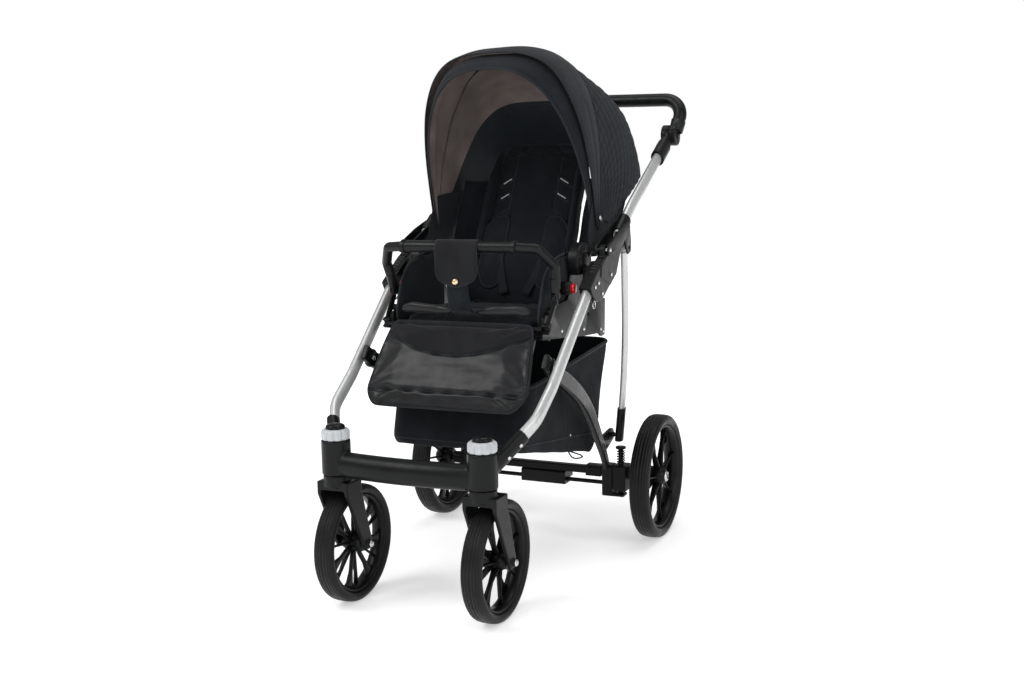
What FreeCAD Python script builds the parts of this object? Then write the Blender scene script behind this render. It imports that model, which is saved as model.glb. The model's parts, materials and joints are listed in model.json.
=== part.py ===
"""Baby stroller: folding aluminium frame on four wheels, with a reclining seat, bumper bar and hood.

Axes while modelling: +X is the child's left, the stroller faces -Y, +Z is up, z = 0 is the floor and
y = 0 is midway between the axles.  Every shape is moved by ORIGIN_SHIFT_Y when it is saved, so that the
saved origin lies on the floor under the centre of the whole stroller.  All lengths are millimetres.
"""
import FreeCAD
import Part
import math
import os

# ---------------------------------------------------------------- driving dimensions
FRONT_WHEEL_D = 240.0
REAR_WHEEL_D = 290.0
FRONT_TYRE_W = 44.0
REAR_TYRE_W = 48.0
AXLE_Y = 317.5               # front axle at -AXLE_Y, rear axle at +AXLE_Y
FRONT_TRACK_X = 161.0
REAR_TRACK_X = 281.0
CASTER_Y = -370.0            # swivel axis of the front wheels
HOUSING_R = 29.0
HOUSING_Z = (276.0, 345.0)
CROSSBAR_Z = 296.0
KINGPIN_R = 10.0
FIT = 0.3                    # gap between parts that move past each other

TUBE_HALF = (10.0, 15.0)     # half width and half height of the oval frame tubes
TUBE_WALL = 1.6
HANDLE_X = 240.0
FOLD_AXIS = (74.0, 693.0)    # y, z of the handle's fold hinge
LEG_TOP = (205.0, 690.0)     # y, z where the rear leg hangs on the handle
LEG_KNEE = (296.0, 430.0)    # where the leg bends from sloping back to nearly upright
LEG_BOTTOM = (303.0, 240.0)
LINK_FRONT = (-150.0, 472.0)  # y, z of the rear frame's hinge on the front tube
GRIP_AXIS = (540.0, 942.0)
GRIP_R = 16.0

SEAT_HALF = 165.0
PLATE_X = (172.0, 178.0)
RECLINE_AXIS = (140.0, 546.0)
BACK_TILT = 27.0             # backrest angle from vertical
LEGREST_AXIS = (-121.0, 545.0)
LEGREST_TILT = 32.7          # legrest angle from vertical
HOOD_AXIS = (148.0, 717.0)
HOOD_HALF = 201.0
HOOD_R = 412.0
SEAT_LOCK = (60.0, 668.0)    # y, z of the round seat joints
BAR_POST = (-70.0, 612.0)    # y, z where the bumper bar's leg plugs on to its stub

ORIGIN_SHIFT_Y = -85.24

NODES = {}


def V(x, y, z):
    return FreeCAD.Vector(x, y, z)


X_AXIS = V(1, 0, 0)
Y_AXIS = V(0, 1, 0)
Z_AXIS = V(0, 0, 1)


# ---------------------------------------------------------------- small builders
def block(x0, x1, y0, y1, z0, z1):
    return Part.makeBox(x1 - x0, y1 - y0, z1 - z0, V(x0, y0, z0))


def rod(start, end, radius):
    way = end - start
    return Part.makeCylinder(radius, way.Length, start, way)


def rod_x(x0, x1, y, z, radius):
    return Part.makeCylinder(radius, x1 - x0, V(x0, y, z), X_AXIS)


def ring_x(x0, x1, y, z, outer, inner):
    return rod_x(x0, x1, y, z, outer).cut(rod_x(x0 - 1, x1 + 1, y, z, inner))


def rod_z(x, y, z0, z1, radius):
    return Part.makeCylinder(radius, z1 - z0, V(x, y, z0), Z_AXIS)


def side_plate(points, x0, x1):
    """A flat plate whose outline is given as (y, z) points, between two x planes."""
    wire = Part.makePolygon([V(x0, y, z) for y, z in points + points[:1]])
    return Part.Face(wire).extrude(V(x1 - x0, 0, 0))


def fuse(first, *others):
    return first.multiFuse(list(others)).removeSplitter()


def group(shapes):
    return Part.makeCompound(list(shapes))


def mirrored(shape):
    return shape.mirror(V(0, 0, 0), X_AXIS)


def add(name, shape):
    NODES[name] = shape


def add_pair(name, shape):
    """The given shape is the +X (left) one; its mirror image is the right one."""
    add(name + "_left", shape)
    add(name + "_right", mirrored(shape))


def add_both(name, shape):
    add(name, group([shape, mirrored(shape)]))


def bent_path(points, radius):
    """Straight runs joined by tangent arcs."""
    edges = []
    last = points[0]
    for i in range(1, len(points) - 1):
        corner = points[i]
        back = (points[i - 1] - corner).normalize()
        ahead = (points[i + 1] - corner).normalize()
        half = back.getAngle(ahead) / 2.0
        reach = radius / math.tan(half)
        first = corner + back * reach
        second = corner + ahead * reach
        middle = (back + ahead).normalize()
        mid = corner + middle * (radius / math.sin(half) - radius)
        edges.append(Part.LineSegment(last, first).toShape())
        edges.append(Part.Arc(first, mid, second).toShape())
        last = second
    edges.append(Part.LineSegment(last, points[-1]).toShape())
    return Part.Wire(edges)


def oval_wire(centre, along, wide, half_wide, half_high):
    """An ellipse square to `along`, with its half_wide axis as near to `wide` as it can be."""
    along = FreeCAD.Vector(along).normalize()
    across = (wide - along * wide.dot(along)).normalize()
    high = along.cross(across)
    if half_wide >= half_high:
        curve = Part.Ellipse(centre + across * half_wide, centre + high * half_high, centre)
    else:
        curve = Part.Ellipse(centre + high * half_high, centre + across * half_wide, centre)
    return Part.Wire(curve.toShape())


def sweep_oval(points, radius, half_wide, half_high):
    path = bent_path(points, radius)
    profile = oval_wire(points[0], points[1] - points[0], X_AXIS, half_wide, half_high)
    return path.makePipeShell([profile], True, False)


def oval_tube(points, radius, half_wide=TUBE_HALF[0], half_high=TUBE_HALF[1], wall=TUBE_WALL):
    outer = sweep_oval(points, radius, half_wide, half_high)
    inner = sweep_oval(points, radius, half_wide - wall, half_high - wall)
    return outer.cut(inner)


def straight_oval(start, end, half_wide, half_high):
    way = end - start
    face = Part.Face(oval_wire(start, way, X_AXIS, half_wide, half_high))
    return face.extrude(way)


def round_tube(points, bend, radius, wall=0.0):
    path = bent_path(points, bend)
    way = points[1] - points[0]
    outer = path.makePipeShell([Part.Wire(Part.makeCircle(radius, points[0], way))], True, False)
    if not wall:
        return outer
    inner = path.makePipeShell([Part.Wire(Part.makeCircle(radius - wall, points[0], way))], True, False)
    return outer.cut(inner)


def turned(profile, x_centre, y, z, degrees=360.0):
    """A ring turned about an X-parallel axis; profile is a list of (x offset, radius) points."""
    points = [V(x_centre + dx, y, z + r) for dx, r in profile]
    wire = Part.makePolygon(points + points[:1])
    return Part.Face(wire).revolve(V(x_centre, y, z), X_AXIS, degrees)


def softened(shape, radius, edges=None):
    try:
        return shape.makeFillet(radius, edges or shape.Edges)
    except Exception:
        return shape


# ---------------------------------------------------------------- wheels
SPOKES = 7


def tyre(x_centre, y, radius, width):
    half = width / 2.0
    deep = radius * 0.175
    groove = 1.2
    profile = [(-half * 0.62, radius - deep), (-half * 0.9, radius - deep * 0.72),
               (-half, radius - deep * 0.42),
               (-half * 0.93, radius - deep * 0.2), (-half * 0.66, radius - deep * 0.05),
               (-half * 0.36, radius - groove * 0.3), (-half * 0.33, radius - groove), (-half * 0.3, radius)]
    mirrored_half = [(-dx, r) for dx, r in reversed(profile)]
    return turned(profile + mirrored_half, x_centre, y, radius)


def rim(x_centre, y, radius, width, bore, hub_half):
    half = width / 2.0
    seat = radius * 0.825
    inside = radius * 0.765
    ring = turned([(-half * 0.6, inside), (-half * 0.6, seat), (half * 0.6, seat), (half * 0.6, inside)],
                  x_centre, y, radius)
    hub = rod_x(x_centre - hub_half, x_centre + hub_half, y, radius, radius * 0.155)
    spokes = []
    for side, start in ((-1, 0.5), (1, 0.0)):
        for i in range(SPOKES):
            angle = (i + start) * 360.0 / SPOKES
            x0 = x_centre + side * half * 0.34 - 3.0
            spoke = block(x0, x0 + 6.0, y - 3.5, y + 3.5, radius + radius * 0.1, radius + inside + 1.0)
            spoke.rotate(V(x_centre, y, radius), X_AXIS, angle)
            spokes.append(spoke)
    body = ring.multiFuse([hub] + spokes)
    return body.cut(rod_x(x_centre - hub_half - 1, x_centre + hub_half + 1, y, radius, bore))


def make_front_wheels():
    radius = FRONT_WHEEL_D / 2.0
    add_pair("tyre_front", tyre(FRONT_TRACK_X, -AXLE_Y, radius, FRONT_TYRE_W))
    add_pair("rim_front", rim(FRONT_TRACK_X, -AXLE_Y, radius, FRONT_TYRE_W, 5.1, 24.0))


def make_rear_wheels():
    radius = REAR_WHEEL_D / 2.0
    add_pair("tyre_rear", tyre(REAR_TRACK_X, AXLE_Y, radius, REAR_TYRE_W))
    add_pair("rim_rear", rim(REAR_TRACK_X, AXLE_Y, radius, REAR_TYRE_W, 7.6, 22.0))


# ---------------------------------------------------------------- front casters
def make_caster_forks():
    radius = FRONT_WHEEL_D / 2.0
    x = FRONT_TRACK_X
    crown_top = HOUSING_Z[0] - 0.6
    crown = fuse(rod_z(x, CASTER_Y, 252.0, crown_top, 27.0),
                 block(x - 35.5, x + 35.5, CASTER_Y - 20, CASTER_Y + 34, 244.0, 262.0))
    crown = crown.cut(rod_x(x - FRONT_TYRE_W / 2 - 4, x + FRONT_TYRE_W / 2 + 4, -AXLE_Y, radius, radius + 5))
    legs = []
    for side in (-1, 1):
        x0 = x + side * 31.5 - 4.0
        outline = [(CASTER_Y - 20, 258), (CASTER_Y - 20, 236), (-AXLE_Y - 16, radius),
                   (-AXLE_Y - 9, radius - 12), (-AXLE_Y + 9, radius - 12), (-AXLE_Y + 15, radius + 6),
                   (CASTER_Y + 34, 236), (CASTER_Y + 34, 258)]
        legs.append(side_plate(outline, x0, x0 + 8.0))
    kingpin = rod_z(x, CASTER_Y, 255.0, 338.0, KINGPIN_R)
    body = fuse(crown, kingpin, *legs)
    axle = rod_x(x - 42.0, x + 42.0, -AXLE_Y, radius, 5.0)
    heads = [rod_x(x - 42.0, x - 36.2, -AXLE_Y, radius, 8.0), rod_x(x + 36.2, x + 42.0, -AXLE_Y, radius, 8.0)]
    body = body.cut(rod_x(x - 45, x + 45, -AXLE_Y, radius, 5.0))
    add_pair("caster_fork", group([body, axle.multiFuse(heads).removeSplitter()]))


def make_front_casting():
    housings = [rod_z(s * FRONT_TRACK_X, CASTER_Y, HOUSING_Z[0], HOUSING_Z[1], HOUSING_R) for s in (-1, 1)]
    bow = Part.Wire(Part.Arc(V(-FRONT_TRACK_X, CASTER_Y, CROSSBAR_Z), V(0, CASTER_Y - 14, CROSSBAR_Z),
                             V(FRONT_TRACK_X, CASTER_Y, CROSSBAR_Z)).toShape())
    start = V(-FRONT_TRACK_X, CASTER_Y, CROSSBAR_Z)
    profile = oval_wire(start, bow.Edges[0].tangentAt(bow.Edges[0].FirstParameter), Z_AXIS, 26.0, 21.0)
    bar = bow.makePipeShell([profile], True, False)
    sleeves = []
    for s in (-1, 1):
        sleeves.append(straight_oval(V(s * 166, -364, 302), V(s * 213, -296.5, 367), 13.2, 17.6))
    body = fuse(bar, *(housings + sleeves))
    tube = sweep_oval(front_tube_points(), FRONT_TUBE_BEND, *TUBE_HALF)
    body = body.cut(tube).cut(mirrored(tube))
    for s in (-1, 1):
        body = body.cut(rod_z(s * FRONT_TRACK_X, CASTER_Y, HOUSING_Z[0] - 1, 338.6, KINGPIN_R + FIT))
        body = body.cut(rod_z(s * FRONT_TRACK_X, CASTER_Y, HOUSING_Z[0] - 20, HOUSING_Z[0], HOUSING_R + 1))
    add("front_casting", body)


def make_lock_rings():
    rings = []
    for s in (1, -1):
        x = s * FRONT_TRACK_X
        ring = rod_z(x, CASTER_Y, HOUSING_Z[1] + 0.4, 367.0, 28.0)
        ring = softened(ring, 3.0)
        lobes = []
        for i in range(10):
            angle = math.radians(36.0 * i)
            lobe_x = x + 31.0 * math.cos(angle)
            lobe_y = CASTER_Y + 31.0 * math.sin(angle)
            lobes.append(rod_z(lobe_x, lobe_y, 345.0, 366.0, 4.2))
        ring = ring.cut(lobes)
        ring = ring.cut(rod_z(x, CASTER_Y, 345.0, 368.0, 12.0))
        rings.append(ring)
    add("swivel_lock_ring_left", rings[0])
    add("swivel_lock_ring_right", rings[1])
    cap = fuse(rod_z(FRONT_TRACK_X, CASTER_Y, HOUSING_Z[1], 367.4, 11.6),
               rod_z(FRONT_TRACK_X, CASTER_Y, 367.4, 373.0, 17.0))
    return group([cap, mirrored(cap)])


# ---------------------------------------------------------------- front frame
FRONT_TUBE_BEND = 90.0


def front_tube_points():
    return [V(188.0, -332.4, 332.5), V(227.0, -268.0, 389.0), V(230.0, -195.0, 441.0), V(235.0, 12.0, 630.0)]


def make_front_tubes():
    add_pair("front_tube", oval_tube(front_tube_points(), FRONT_TUBE_BEND))


HOUSING_END_X = (229.0, 251.0)
FOLD_LUG_X = (234.0, 246.0)


def make_hinge_housings():
    lower = side_plate([(-28, 622), (-19, 606), (-4, 595), (25, 589), (51, 596), (87, 616), (102, 626),
                        (96, 650), (58, 668), (48, 672), (17, 655)], 222.0, 249.0)
    upper = side_plate([(30, 640), (87, 618), (125, 639), (152, 684), (157, 700), (141, 715), (103, 701),
                        (57, 677), (34, 664)], *HOUSING_END_X)
    lug = fuse(rod_x(FOLD_LUG_X[0], FOLD_LUG_X[1], FOLD_AXIS[0], FOLD_AXIS[1], 12.0),
               side_plate([(60, 672), (96, 690), (84, 700), (63, 697)], *FOLD_LUG_X))
    body = fuse(lower, upper, lug)
    ribs = []
    for i in range(5):
        y = 14.0 + 9.0 * i
        z = 653.0 + 5.2 * i
        ribs.append(rod_x(231.0, 247.0, y, z, 2.4))
    socket = block(205.0, 222.5, 38.0, 82.0, 628.0, 660.0)
    socket = softened(socket, 6.0, [e for e in socket.Edges if abs(e.tangentAt(e.FirstParameter).x) > 0.9])
    body = fuse(body, *(ribs + [socket]))
    body = body.cut(sweep_oval(front_tube_points(), FRONT_TUBE_BEND, *TUBE_HALF))
    body = body.cut(block(220.0, 232.8, 100.0, 160.0, 650.0, 720.0))
    body = body.cut(rod_x(218.0, 260.0, FOLD_AXIS[0], FOLD_AXIS[1], 4.0))
    add_pair("hinge_housing", body)


def make_frame_fasteners(caps):
    pieces = [rod_x(223.8, 256.6, FOLD_AXIS[0], FOLD_AXIS[1], 4.0)]
    for x, y, z in ((249.0, 18.0, 628.0), (249.0, -2.0, 621.0), (249.0, 40.0, 604.0), (251.0, 90.0, 640.0)):
        pieces.append(rod_x(x, x + 1.6, y, z, 4.2))
    pieces.append(rod_x(199.5, 219.2, LINK_FRONT[0], LINK_FRONT[1], 5.0))
    group_left = group(pieces)
    add("frame_fasteners", group([group_left, mirrored(group_left), caps]))


# ---------------------------------------------------------------- handle
HANDLE_POINTS = [V(HANDLE_X, 163.0, 716.6), V(HANDLE_X, 250.0, 777.0), V(HANDLE_X, 516.2, 924.5)]


def on_handle(distance):
    """A point on the upper straight run, by its distance from the bend."""
    way = (HANDLE_POINTS[2] - HANDLE_POINTS[1]).normalize()
    return HANDLE_POINTS[1] + way * distance


def make_handle_tubes():
    add_pair("handle_tube", oval_tube(HANDLE_POINTS, 160.0))


WING = [(168, 717), (198, 741), (207, 734), (214, 700), (211, 681), (195, 676), (184, 688), (176, 704)]
FOLD_ARM = [(66, 703), (62, 693), (66, 683), (76, 681), (150, 697), (205, 735), (196, 750), (140, 733)]


def make_handle_collars():
    start = V(HANDLE_X, 168.0, 720.1)
    end = V(HANDLE_X, 212.0, 750.6)
    collar = straight_oval(start, end, 13.5, 18.5)
    wings = [side_plate(WING, 222.6, 226.8), side_plate(WING, 250.0, 254.0)]
    arms = [side_plate(FOLD_ARM, 224.6, 228.7), side_plate(FOLD_ARM, 251.3, 255.4)]
    body = fuse(collar, *(wings + arms))
    body = body.cut(sweep_oval(HANDLE_POINTS, 160.0, *TUBE_HALF))
    body = body.cut(rod_x(218.0, 262.0, FOLD_AXIS[0], FOLD_AXIS[1], 4.0 + FIT))
    body = body.cut(rod_x(218.0, 262.0, LEG_TOP[0], LEG_TOP[1], 4.0 + FIT))
    add_pair("handle_collar", body)


def make_fold_sliders():
    start = on_handle(224.0)
    end = on_handle(288.0)
    body = straight_oval(start, end, 16.0, 20.5)
    body = softened(body, 3.0)
    way = end - start
    body = body.cut(straight_oval(start - way, end + way, TUBE_HALF[0] + FIT, TUBE_HALF[1] + FIT))
    add_pair("fold_slider", body)


def make_handle_joints():
    y, z = GRIP_AXIS
    sleeve = straight_oval(on_handle(291.0), V(HANDLE_X, y - 8.0, z - 5.0), 13.5, 18.5)
    knuckle = rod_x(226.0, 244.0, y, z, 25.0)
    knuckle = softened(knuckle, 2.5)
    body = fuse(sleeve, knuckle)
    tube = sweep_oval(HANDLE_POINTS, 160.0, *TUBE_HALF)
    body = body.cut(tube)
    body = body.cut(rod_x(244.3, 270.0, y, z, 26.5))
    body = body.cut(rod_x(225.0, 262.0, y, z, 7.0))
    wire_loop = Part.makeTorus(9.0, 1.4, V(240.0, 514.0, 948.0), X_AXIS)
    add_both("handle_joints", group([body, wire_loop]))


def make_grip():
    y, z = GRIP_AXIS
    left = [V(258.0, y + 12.0, z + 30.0), V(281.0, 577.0, 1029.0), V(0.0, 592.0, 1034.0)]
    half = round_tube(left, 46.0, GRIP_R)
    add("grip_bar", half.fuse(mirrored(half)).removeSplitter())
    knuckle = rod_x(244.6, 262.0, y, z, 25.0)
    knuckle = softened(knuckle, 2.5)
    neck = rod(V(255.5, y + 4.0, z + 10.0), V(258.0 + 1.6, y + 12.0 + 2.6, z + 30.0 + 4.2), 18.0)
    body = fuse(knuckle, neck)
    body = body.cut(block(200.0, 244.5, y - 60, y + 60, z - 60, z + 60))
    body = body.cut(half)
    body = body.cut(rod_x(240.0, 268.0, y, z, 7.0))
    add_both("grip_knuckles", body)
    add_pair("grip_button", rod_x(248.5, 265.5, y, z, 6.7))


# ---------------------------------------------------------------- rear legs and rear frame
LEG_X = (240.0, 212.0, 193.0)
LEG_BEND = 850.0


def leg_points():
    return [V(LEG_X[0], *LEG_TOP), V(LEG_X[1], *LEG_KNEE), V(LEG_X[2], *LEG_BOTTOM)]


def low_on_leg(up):
    """A point on the leg's lower run, `up` mm from its bottom end."""
    knee, bottom = leg_points()[1:]
    return bottom + (knee - bottom).normalize() * up


def make_rear_legs():
    top, knee, bottom = leg_points()
    start = top + (knee - top).normalize() * 9.0
    outer = sweep_oval([start, knee, low_on_leg(3.0)], LEG_BEND, 7.5, 13.0)
    inner = sweep_oval([start + (knee - top).normalize() * 6.0, knee, bottom], LEG_BEND, 6.1, 11.6)
    knob = rod_x(232.2, 247.8, LEG_TOP[0], LEG_TOP[1], 13.0)
    body = fuse(knob, outer.cut(inner))
    body = body.cut(rod_x(220.0, 260.0, LEG_TOP[0], LEG_TOP[1], 4.0))
    add_pair("rear_leg", body)
    pin = rod_x(225.2, 255.4, LEG_TOP[0], LEG_TOP[1], 4.0)
    socket = straight_oval(low_on_leg(66.0), low_on_leg(-14.0), 9.5, 15.6)
    socket = socket.cut(sweep_oval([start, knee, low_on_leg(0.0)], LEG_BEND, 7.5, 13.0))
    add_both("leg_fittings", group([pin, socket]))


def link_section(x, y, z, slope, half_x, half_high):
    """A rounded rectangle square to a line that falls by `slope` degrees in the side view."""
    a = math.radians(slope)
    up = V(0, math.sin(a), math.cos(a))
    centre = V(x, y, z)
    corner = half_x * 0.35
    inner_x = half_x - corner
    inner_h = half_high - corner
    edges = []
    ring = []
    for sx, sh in ((1, 1), (-1, 1), (-1, -1), (1, -1)):
        ring.append((sx * half_x, sh * inner_h, sx * inner_x, sh * half_high))
    order = []
    for i, (ax, ah, bx, bh) in enumerate(ring):
        first, second = ((ax, ah), (bx, bh)) if i % 2 == 0 else ((bx, bh), (ax, ah))
        order.append(first)
        order.append(second)
    points = [centre + X_AXIS * px + up * ph for px, ph in order]
    for p, q in zip(points, points[1:] + points[:1]):
        edges.append(Part.LineSegment(p, q).toShape())
    return Part.Wire(edges)


LINK_STATIONS = [
    (207.5, -176.0, 490.0, 36.0, 6.0, 16.0), (207.5, -150.0, 472.0, 34.0, 6.5, 17.0),
    (206.0, -88.0, 442.0, 28.0, 7.0, 18.0), (203.0, 0.0, 398.0, 28.0, 7.5, 18.0),
    (198.0, 60.0, 362.0, 34.0, 7.5, 17.5), (191.0, 125.0, 312.0, 41.0, 7.5, 16.5),
    (182.0, 195.0, 248.0, 45.0, 7.0, 13.0), (175.0, 245.0, 200.0, 46.0, 6.5, 11.0),
    (171.0, 272.0, 166.0, 56.0, 6.0, 10.0),
]


def make_arch_links():
    wires = [link_section(*station) for station in LINK_STATIONS]
    body = Part.makeLoft(wires, True, False)
    eye = rod_x(201.5, 214.0, LINK_FRONT[0], LINK_FRONT[1], 18.0)
    ear = side_plate([(214, 246), (294, 256), (305, 254), (313, 241), (306, 228), (268, 214), (236, 204)],
                     169.0, 177.5)
    stub = rod_x(170.0, 182.4, LEG_BOTTOM[0] - 4.0, LEG_BOTTOM[1], 6.0)
    body = fuse(body, eye, ear, stub)
    body = body.cut(rod_x(195.0, 222.0, LINK_FRONT[0], LINK_FRONT[1], 5.0 + FIT))
    add_pair("arch_link", body)


BRACKET_X = (155.0, 180.0)
ROD_X = 197.0
ROD_Y = 300.0


def make_rear_axle():
    beam = block(-154.9, 154.9, 290.0, 310.0, 141.0, 159.0)
    beam = softened(beam, 3.0, [e for e in beam.Edges if abs(e.tangentAt(e.FirstParameter).x) > 0.9])
    clamps = []
    for s in (-1, 1):
        clamps.append(block(min(s * 112, s * 150), max(s * 112, s * 150), 287.0, 313.0, 137.0, 163.0))
        for x in (122.0, 140.0):
            clamps.append(rod(V(s * x, 285.5, 154.0), V(s * x, 287.1, 154.0), 4.0))
    add("rear_beam", fuse(beam, *clamps))
    bracket = block(BRACKET_X[0], BRACKET_X[1], 282.0, 318.0, 92.0, 168.0)
    bracket = softened(bracket, 5.0, [e for e in bracket.Edges if abs(e.tangentAt(e.FirstParameter).x) > 0.9])
    foot = block(BRACKET_X[1] - 2.0, ROD_X + 11.0, 286.0, 314.0, 92.0, 99.0)
    wires = [link_section(*station) for station in LINK_STATIONS]
    arch = Part.makeLoft(wires, True, False)
    guide = rod_z(ROD_X, ROD_Y, 99.0, 208.0, 6.0)
    cap = rod_z(ROD_X, ROD_Y, 206.5, 212.5, 12.5)
    body = fuse(bracket.cut(arch), foot, guide, cap)
    add_both("suspension_brackets", body)


def make_suspension():
    carrier = block(183.0, 213.0, 284.0, 328.0, 106.0, 168.0)
    carrier = softened(carrier, 4.0, [e for e in carrier.Edges if abs(e.tangentAt(e.FirstParameter).x) > 0.9])
    carrier = fuse(carrier, rod_x(212.0, 256.0, AXLE_Y, REAR_WHEEL_D / 2, 15.0),
                   rod_x(255.0, 308.0, AXLE_Y, REAR_WHEEL_D / 2, 7.3))
    carrier = carrier.cut(rod_z(ROD_X, ROD_Y, 100.0, 172.0, 6.0 + FIT))
    add_pair("wheel_carrier", carrier)
    helix = Part.makeHelix(6.4, 32.0, 9.0)
    helix.translate(V(ROD_X, ROD_Y, 171.0))
    start = V(ROD_X + 9.0, ROD_Y, 171.0)
    profile = Part.Wire(Part.makeCircle(1.3, start, V(0, 9.0, 1.02)))
    coil = Part.Wire(helix).makePipeShell([profile], True, True)
    add_pair("suspension_spring", coil)


def make_brake():
    y, z = 306.0, 119.0
    shell = block(-58.0, 58.0, 288.0, 326.0, 108.0, 140.7)
    shell = softened(shell, 4.0, [e for e in shell.Edges if abs(e.tangentAt(e.FirstParameter).x) > 0.9])
    shell = shell.cut(block(-54.0, 54.0, 291.5, 340.0, 100.0, 136.5))
    shell = shell.cut(rod_x(-70.0, 70.0, y, z, 5.0 + FIT))
    add("brake_housing", shell)
    shaft = rod_x(-154.0, 154.0, y, z, 5.0)
    pedal = side_plate([(297, 113), (300, 124), (330, 128), (356, 124), (358, 116), (330, 114), (308, 110)],
                       -51.0, 51.0)
    add("brake_pedal", fuse(shaft, pedal))


# ---------------------------------------------------------------- basket
def rounded_rect(y0, y1, half_x, z0, z1, corner):
    """A four-cornered ring whose height runs from z0 at the front to z1 at the back."""
    def height(y):
        return z0 + (z1 - z0) * (y - y0) / (y1 - y0)
    c = corner
    points = [(-half_x + c, y0), (half_x - c, y0), (half_x, y0 + c), (half_x, y1 - c), (half_x - c, y1),
              (-half_x + c, y1), (-half_x, y1 - c), (-half_x, y0 + c)]
    return Part.makePolygon([V(x, y, height(y)) for x, y in points + points[:1]])


def make_basket():
    wall = 3.5
    outer = Part.makeLoft([rounded_rect(-180, 266, 143, 300, 203, 26),
                           rounded_rect(-184, 292, 149, 316, 262, 26),
                           rounded_rect(-160, 308, 154, 388, 350, 26),
                           rounded_rect(-150, 344, 158, 424, 462, 26)], True, True)
    inner = Part.makeLoft([rounded_rect(-176, 262, 139, 305, 208, 24),
                           rounded_rect(-184 + wall, 292 - wall, 149 - wall, 316, 264, 24),
                           rounded_rect(-160 + wall, 308 - wall, 154 - wall, 388, 350, 24),
                           rounded_rect(-150 + wall, 344 - wall, 158 - wall, 430, 468, 24)], True, True)
    add("basket", outer.cut(inner))


# ---------------------------------------------------------------- seat
def along_back(distance, behind=0.0):
    """y, z of a point up the backrest from the recline axis, `behind` its front face line."""
    a = math.radians(BACK_TILT)
    foot_y, foot_z = 131.0, 552.0
    y = foot_y + distance * math.sin(a) + behind * math.cos(a)
    z = foot_z + distance * math.cos(a) - behind * math.sin(a)
    return y, z


def make_seat_frame():
    outline = [(-118, 522), (-112, 566), (-60, 584), (20, 590), (60, 640), (110, 640), (150, 575), (214, 578),
               (250, 570), (247, 487), (228, 485), (212, 494), (120, 500), (0, 512)]
    plate = side_plate(outline, *PLATE_X)
    lock_rim = rod_x(PLATE_X[1] - 0.5, 204.7, SEAT_LOCK[0], SEAT_LOCK[1] + 1.0, 20.0)
    disc = side_plate([(20, 600), (60, 700), (100, 690), (108, 640), (100, 600)], *PLATE_X)
    stub = straight_oval(V(187.0, -112.0, 552.0), V(190.0, -77.0, 598.0), 4.0, 9.0)
    post_y, post_z = BAR_POST
    peg = straight_oval(V(190.3, post_y - 5.0, post_z - 22.0), V(190.3, post_y - 9.0, post_z + 1.0), 4.0, 8.8)
    stub = fuse(stub, peg)
    stub = fuse(stub, rod_x(177.0, 193.0, -112.0, 545.0, 12.0), rod_x(177.0, 188.0, -84.0, 575.0, 7.0))
    body = fuse(plate, disc, lock_rim, stub)
    body = body.cut(rod_x(150.0, 200.0, *RECLINE_AXIS, 5.0 + FIT))
    body = body.cut(rod_x(150.0, 200.0, *LEGREST_AXIS, 5.0 + FIT))
    button_hole = rod_x(160.0, 260.0, -9.0, 618.0, 9.0)
    body = body.cut(button_hole)
    cross = [rod_x(-PLATE_X[0] - 1, PLATE_X[0] + 1, y, 521.0, 7.0) for y in (-70.0, 90.0)]
    board = block(-160.0, 160.0, -100.0, 112.0, 525.0, 534.0)
    whole = body.multiFuse([mirrored(body), board] + cross).removeSplitter()
    add("seat_frame", whole)


def make_seat_joints():
    y, z = SEAT_LOCK
    disc = rod_x(178.4, 204.0, y, z + 2.0, 40.0)
    disc = softened(disc, 6.0, [e for e in disc.Edges if abs(e.CenterOfMass.x - 204.0) < 0.5])
    disc = disc.cut(block(170, 220, 20, 100, 600, z - 26.0))
    disc = disc.cut(rod_x(170.0, 204.8, SEAT_LOCK[0], SEAT_LOCK[1] + 1.0, 20.0))
    add_both("seat_joint_discs", disc)


def make_release_buttons():
    button = fuse(rod_x(179.0, 203.0, -9.0, 618.0, 8.6), rod_x(203.0, 207.0, -9.0, 618.0, 10.5))
    add_pair("release_button", button)


def make_seat_pad():
    outline = [(-108, 535), (-114, 548), (-106, 566), (-60, 576), (60, 572), (112, 566), (112, 540), (90, 535)]
    add("seat_pad", side_plate(outline, -SEAT_HALF + 5, SEAT_HALF - 5))


def make_side_panels():
    outline = [(-108, 540), (-112, 566), (-86, 640), (-50, 676), (10, 690), (96, 694), (112, 640), (112, 545)]
    panel = side_plate(outline, 162.0, 171.4)
    add_both("side_panels", panel)


def make_crotch_strap():
    outline = [(-118.5, 572), (-124, 577), (-141.5, 671), (-137.5, 671), (-119, 583), (-97, 580), (-97, 576.8)]
    add("crotch_strap", side_plate(outline, -28.0, 28.0))


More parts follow.
